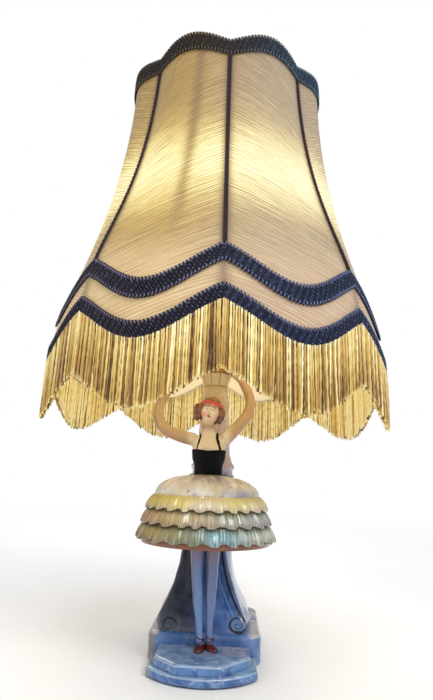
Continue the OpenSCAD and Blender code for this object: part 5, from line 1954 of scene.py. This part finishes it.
    def body(self) -> None:
        """Makes chest, neck, arms and hands as one smooth skin."""
        s, draft, a = self.sizes, Draft(), ring(32)
        profile = [(s.chest - 4, 12.2, 7.6, 0), (s.chest, 12.6, 8.0, 0), (s.chest + 4, 13.6, 7.8, 0.2),
                   (s.shoulder - 2, 14.6, 6.9, 0.6), (s.shoulder + 0.6, 14.0, 6.0, 1.0),
                   (s.shoulder + 2.4, 10.4, 5.4, 1.2), (s.shoulder + 4.2, 6.9, 5.2, 1.0),
                   (s.shoulder + 6.5, 5.2, 5.0, 0.6), (s.chin, 4.9, 4.9, 0.2), (s.chin + 5, 5.0, 5.2, 0)]
        fine = through(profile, 50)
        rows = [np.stack([s.x - s.nod * smooth((z - s.shoulder - 2) / 11) + rx * np.cos(a),
                          s.y + dy + ry * np.sin(a), z + 0 * a], 1) for z, rx, ry, dy in fine]
        draft.grid(np.array(rows), ends=True)
        for side in (-1, 1):
            draft.ball((s.x + side * 5.0, s.y - 5.0, s.chest + 1.2), (4.6, 3.6, 4.4), 20)
            draft.ball((s.x + side * 12.0, s.y + 0.6, s.shoulder - 1.2), (5.0, 4.8, 4.8), 20)
        for side, way in ((1, self.LEFT_ARM), (-1, self.RIGHT_ARM)):
            path = through(way, 50)
            girth = eased([(0, 5.0), (0.25, 4.5), (0.45, 3.95), (0.52, 4.0), (0.66, 3.9), (0.86, 2.65),
                           (0.93, 2.7), (1, 2.4)], np.linspace(0, 1, 50))
            draft.tube(path, girth, 20)
            self.hand(draft, side, path)
        self.skin = piece("body_glazed", fused(draft, "body", 0.42, 4),
                          Glaze("flesh_glaze", flesh_paint), "flesh_glaze", "torso", "left_arm",
                          "right_arm")

    def hand(self, draft: Draft, side: int, arm: Points) -> None:
        """Adds a hand whose fingers lie over the capital's rim.

        Args:
            draft: what the hand is added to.
            side: +1 for her left.
            arm: the arm's centre line.
        """
        s = self.sizes
        wrist, way = arm[-1], unit(arm[-1] - arm[-6])
        inward = unit(np.array([-wrist[0], -wrist[1], 0.0]))
        across = unit(np.cross(way, (0, 0, 1)))
        draft.ball(wrist + way * 1.5 + (0, 0, 0.4), (3.2, 3.2, 2.4), 16)
        top = s.capital_top + 1.0
        for spread, long in ((-2.7, 4.8), (-0.9, 5.6), (0.9, 5.6), (2.7, 4.8)):
            start = wrist + way + across * spread * 0.8
            tip = start + inward * long + across * spread * 0.35
            knee = lerp(start, tip, 0.5)
            draft.tube(through([start, (knee[0], knee[1], top + 1.3), (tip[0], tip[1], top - 0.2)], 12),
                       np.linspace(1.3, 0.95, 12), 10)
        thumb = wrist + across * side * -2.0
        draft.tube(through([wrist, thumb + (0, 0, -1.6), thumb + inward * 2.4 + (0, 0, -3.2)], 10),
                   np.linspace(1.5, 1.0, 10), 10)

    def bodice(self) -> None:
        """Makes the black bodice, its neckline and the two straps."""
        s, rows, a = self.sizes, [], ring(64)
        turn = np.mod(a + math.pi, TURN) - math.pi
        for t in np.linspace(0, 1, 30):
            wide = eased([(0, 11.2), (0.1, 10.7), (0.3, 10.9), (0.75, 12.9), (1, 13.3)], t)
            deep = eased([(0, 8.0), (0.15, 7.6), (0.6, 8.6), (1, 8.8)], t)
            front = bump_at(turn, -math.pi / 2, 0.5)
            cup = 1.3 * bump_at(t, 0.85, 0.28) * (bump_at(turn, -2.02, 0.3) + bump_at(turn, -1.12, 0.3))
            z = lerp(s.waist - 0.6, s.chest, t) - 0.9 * front * smooth((t - 0.8) / 0.2)
            x, y = s.x + (wide + cup) * np.cos(a), s.y + (deep + cup) * np.sin(a)
            rows.append(np.stack([x, y, z + 0 * a], 1))
        last = rows[-1]
        rows += [lerp(last, last.mean(0), inwards) + (0, 0, up)
                 for inwards, up in ((0.03, 0.35), (0.09, 0.2), (0.2, -1.5))]
        black = Glaze("black_glaze", black_paint, 0.4, coat=0.02, shine=0.12)
        piece("bodice_glazed", Draft().grid(np.array(rows), ends=True),
              black, "black_glaze", "bodice")
        skin, straps = Surface(self.skin), Draft()
        for x0, x1, wide in ((-9.6, -7.0, 0.75), (9.4, 6.2, 1.15)):
            top, before, behind = s.x + x1, s.y - 20, s.y + 20
            front = through([(s.x + x0, before, s.chest - 1), (s.x + lerp(x0, x1, 0.6), before, s.chest + 5),
                             (top, before, s.shoulder + 0.5)], 26)
            on, normals = skin.under(front, (0, 1, 0), 30)
            crest = np.linspace((top, s.y - 4.5, s.shoulder), (top, s.y + 5, s.shoulder), 10)
            over, over_n = skin.under(crest, (0, 0, -1), 8)
            fall = np.linspace((top, behind, s.shoulder - 0.5), (s.x + x0 * 0.8, behind, s.chest - 1), 20)
            back, back_n = skin.under(fall, (0, -1, 0), 30)
            keep = over[:, 2] > on[-1, 2] - 0.5
            straps.tube(np.concatenate([on, over[keep], back]), wide, 8, flat=0.42,
                        up=np.concatenate([normals, over_n[keep], back_n]))
        piece("bodice_straps", straps, black, "black_glaze")


def face_paint(bench: Bench) -> Wire:
    """Cream with a soft blush over the cheeks and painted shade on the faces that look down."""
    at = bench.place()
    x, _, z = at.split()
    _, _, up = bench.facing()
    cloud = at.noise(0.3, 3, 0.6)
    blush = z.hill(178.8, 3.2) * abs(x - 0.1).rise(1.4, 3.4)
    return bench.coats(
        bench.mix(cloud, (240, 216, 176), (248, 232, 200)),
        # Painted shade on the faces that look down, then the blush.
        (up.rise(0, -0.9) * 0.5, (208, 142, 92)), (blush * 0.55, (232, 138, 112)))


def hair_paint(bench: Bench) -> Wire:
    """Auburn with darker waves."""
    at = bench.place()
    _, _, z = at.split()
    strand = at.scaled(1.0, 1.0, 0.5).noise(0.7, 4, 0.6, 0.8)
    return bench.coats(
        bench.mix(strand.rise(0.35, 0.65), (88, 46, 22), (182, 116, 62)),
        (z.rise(180.5, 176) * 0.5, (50, 24, 14)))


class Head:
    """A small head of plain proportions with waved hair and a headband.

    RELIEF lists the face's soft swells and hollows: height, place and width to each side, level
    and tallness.
    """

    RELIEF = ((0.35, 1.0, 0.5, -2.7, 0.6), (-0.75, 2.7, 1.35, 0.25, 1.1), (0.55, 2.75, 0.95, 0.0, 0.62),
              (0.35, 2.7, 1.8, 1.95, 0.7), (0.45, 3.9, 1.7, -2.3, 1.8), (0.5, 0.0, 1.5, -4.55, 0.42),
              (0.5, 0.0, 1.3, -5.5, 0.45), (-0.3, 0.0, 1.7, -5.02, 0.22), (-0.25, 0.0, 1.4, -6.4, 0.5),
              (0.75, 0.0, 2.0, -8.0, 1.3))

    def __init__(self, sizes: DancerSizes) -> None:
        """Makes face, hair and headband."""
        s = self.sizes = sizes
        self.turn = Matrix.Rotation(math.radians(s.tilt), 4, "Y") @ Matrix.Rotation(math.radians(-8), 4, "X")
        self.turned = np.array(self.turn.to_3x3())
        self.neck = np.array([s.x - s.nod, s.y, s.chin])
        self.face()
        self.hair()
        self.band()

    def placed(self, points: Points) -> Points:
        """Points of the upright head, measured from its middle, moved to the tilted head."""
        local = np.asarray(points, float) + (0, -1.2, self.sizes.head[2])
        return local @ self.turned.T + self.neck

    def shape(self, across: Points, up: Points) -> Points:
        """Points of the face's skin.

        Args:
            across: angle round the head from the middle of the face, in radians.
            up: angle above the middle, in radians.

        Returns:
            An array of points measured from the head's middle.
        """
        w, d, h = self.sizes.head
        across, up = np.broadcast_arrays(across, up)
        x = w * np.cos(up) * np.sin(across)
        y = -d * np.cos(up) * np.cos(across)
        z = h * np.sin(up)
        low = smooth(-z / h)
        x = x * (1 - 0.30 * low**1.3)
        y = np.where(y < 0, y * (1 - 0.10 * low), y * (1 - 0.35 * low))
        face = smooth((-y - 3) / 4)
        out = 1.75 * bump_at(x, 0, 0.95) * np.clip((1.8 - z) / 4.4, 0, 1) * smooth((z + 3.6) / 0.9)
        for high, beside, wide, level, tall in self.RELIEF:
            out = out + high * bump_at(np.abs(x), beside, wide) * bump_at(z, level, tall)
        return np.stack([x, y - out * face, z], -1)

    def face(self) -> None:
        """Makes the head's skin with its painted eyes, brows and lips."""
        up = np.linspace(-0.495, 0.495, 130)[:, None] * math.pi
        across = ring(180)
        skin = self.placed(self.shape(across, up))
        cream = Glaze("face_glaze", face_paint)
        head = piece("head_glazed", Draft().grid(skin, ends=True), cream, "flesh_glaze", "head")
        on = Surface(head)
        ahead = self.turned @ np.array((0, 1, 0.0))
        brown, white, iris, red = (
            Glaze(name, plain(colour, other), 0.2) for name, colour, other in (
                ("eye_paint", (64, 36, 26), (40, 22, 18)),
                ("eye_white", (236, 232, 226), (220, 214, 208)),
                ("iris_paint", (70, 84, 96), (44, 50, 60)),
                ("lip_paint", (178, 46, 44), (146, 34, 36))))
        both = (-1, 1)
        strokes = (
            ("brows", brown, "black_glaze", both, (([(1.5, 1.9), (2.8, 2.5), (4.2, 1.8)], 0.16, 0.28),)),
            ("lashes", brown, "black_glaze", both,
             (([(1.55, 0.05), (2.3, 0.55), (3.2, 0.55), (4.0, 0.0)], 0.10, 0.2),)),
            ("eye_whites", white, "flesh_glaze", both,
             (([(1.7, 0.05), (2.75, 0.18), (3.8, 0.02)], 0.12, 0.34),)),
            ("irises", iris, "black_glaze", both,
             (([(2.5, 0.16), (2.75, 0.18), (3.0, 0.16)], 0.3, 0.34),)),
            ("lips", red, "red_glaze", (1,),
             (([(-1.5, -4.95), (-0.5, -4.55), (0, -4.7), (0.5, -4.55), (1.5, -4.95)], 0.14, 0.3),
              ([(-1.2, -5.15), (0, -5.6), (1.2, -5.15)], 0.14, 0.4))),
        )
        for name, finish, slot, sides, lines in strokes:
            draft = Draft()
            for side in sides:
                for points, thin, thick in lines:
                    path = through([(side * x, -12, z) for x, z in points], 24)
                    hit, normals = on.under(self.placed(path), ahead, 12)
                    swell = lerp(thin, thick, np.sin(np.linspace(0, math.pi, 24)))
                    draft.tube(hit, swell, 6, flat=0.4, up=normals)
            piece(f"face_{name}", draft, finish, slot, outwards=False)

    def hair(self) -> None:
        """Makes the waved bob with a puff over each ear."""
        w, d, h = self.sizes.head
        draft = Draft()
        up = np.linspace(-0.36, 0.5, 90)[:, None] * math.pi
        across = ring(220)
        cap = self.shape(across, up)
        normal = unit(cap / np.array((w, d, h)) ** 2)
        away = np.abs(np.mod(across + math.pi, TURN) - math.pi)
        cover = smooth((away - 0.95 + 0.55 * np.sin(up)) / 0.22)
        cover = cover * smooth((away + 1.7 * up - 0.9) / 0.3 + 0.6)
        crown = smooth((up - 0.44) / 0.14)
        cover = np.maximum(cover * smooth((up + 0.95) / 0.35), crown)
        wave = np.sin(9 * up + 2.2 * np.sin(away * 3)) * 0.35 + 0.18 * np.sin(away * 30 + 5 * np.sin(up * 4))
        thick = (2.2 + 0.9 * smooth((away - 2) / 1) + wave) * cover - 0.6 * (1 - cover)
        shell = cap + normal * thick[..., None]
        draft.grid(self.placed(shell), ends=True)
        for side in (-1, 1):
            puff = 1.5 if side < 0 else 0.4
            for a in (0, 1 / 3, 2 / 3, 1):
                centre = (side * (w + 1.0 + puff - 0.5 * a), -1.6 + 2.2 * a, 1.2 - 5.6 * a)
                draft.ball(self.placed(centre), (2.6 + puff * 0.4, 3.9, 3.3 + puff * 0.4), 18, self.turn)
        mesh = fused(draft, "hair", 0.4, 3)
        self.curl(mesh)
        auburn = Glaze("hair_glaze", hair_paint)
        piece("hair_glazed", mesh, auburn, "hair_glaze", "hair")

    def curl(self, mesh: Mesh) -> None:
        """Cuts waves and locks into the hair."""
        read = np.zeros((2, len(mesh.vertices), 3), np.float32)
        mesh.vertices.foreach_get("co", read[0].ravel())
        mesh.vertices.foreach_get("normal", read[1].ravel())
        points, normals = read.astype(float)
        local = (points / MM - self.neck) @ self.turned - (0, -1.2, self.sizes.head[2])
        turn = np.arctan2(local[:, 0], -local[:, 1] + 2)
        lock = np.sin(turn * 16 + 1.6 * np.sin(local[:, 2] * 0.85)) * 0.22
        tuck = np.sin(local[:, 2] * 1.5 + 1.5 * np.abs(turn)) * 0.2
        new = points / MM + normals * (lock + tuck)[:, None]
        mesh.vertices.foreach_set("co", (new * MM).astype(np.float32).ravel())
        mesh.update()

    def band(self) -> None:
        """Makes the two ridges of the headband."""
        w, d, h = self.sizes.head
        draft = Draft()
        a = ring(120)
        for rise, out in ((0.0, 2.5), (1.6, 2.3)):
            r = math.sqrt(1 - ((5.2 + rise) / h) ** 2)
            x, y = (w * r + out) * np.sin(a), -(d * r + out) * np.cos(a)
            z = 5.8 + rise + 1.14 * y / d + 0.15 * np.sin(a * 17)
            draft.tube(self.placed(np.stack([x, y, z], 1)), 0.95, 10, loop=True)
        red = Glaze("red_glaze", plain((190, 52, 44), (232, 118, 96), 0.6))
        piece("headband_glazed", draft, red, "red_glaze", "headband")


# ---- the whole lamp


def main() -> None:
    """Builds the lamp from the table up and sets up the room."""
    logging.basicConfig(level=logging.INFO, format="%(message)s")
    Palette().dress()
    Foot(FootSizes())
    Pedestal(PedestalSizes())
    Column(ColumnSizes())
    Dancer(DancerSizes())
    Shade(ShadeSizes())
    Studio()


if __name__ == "__main__":
    main()
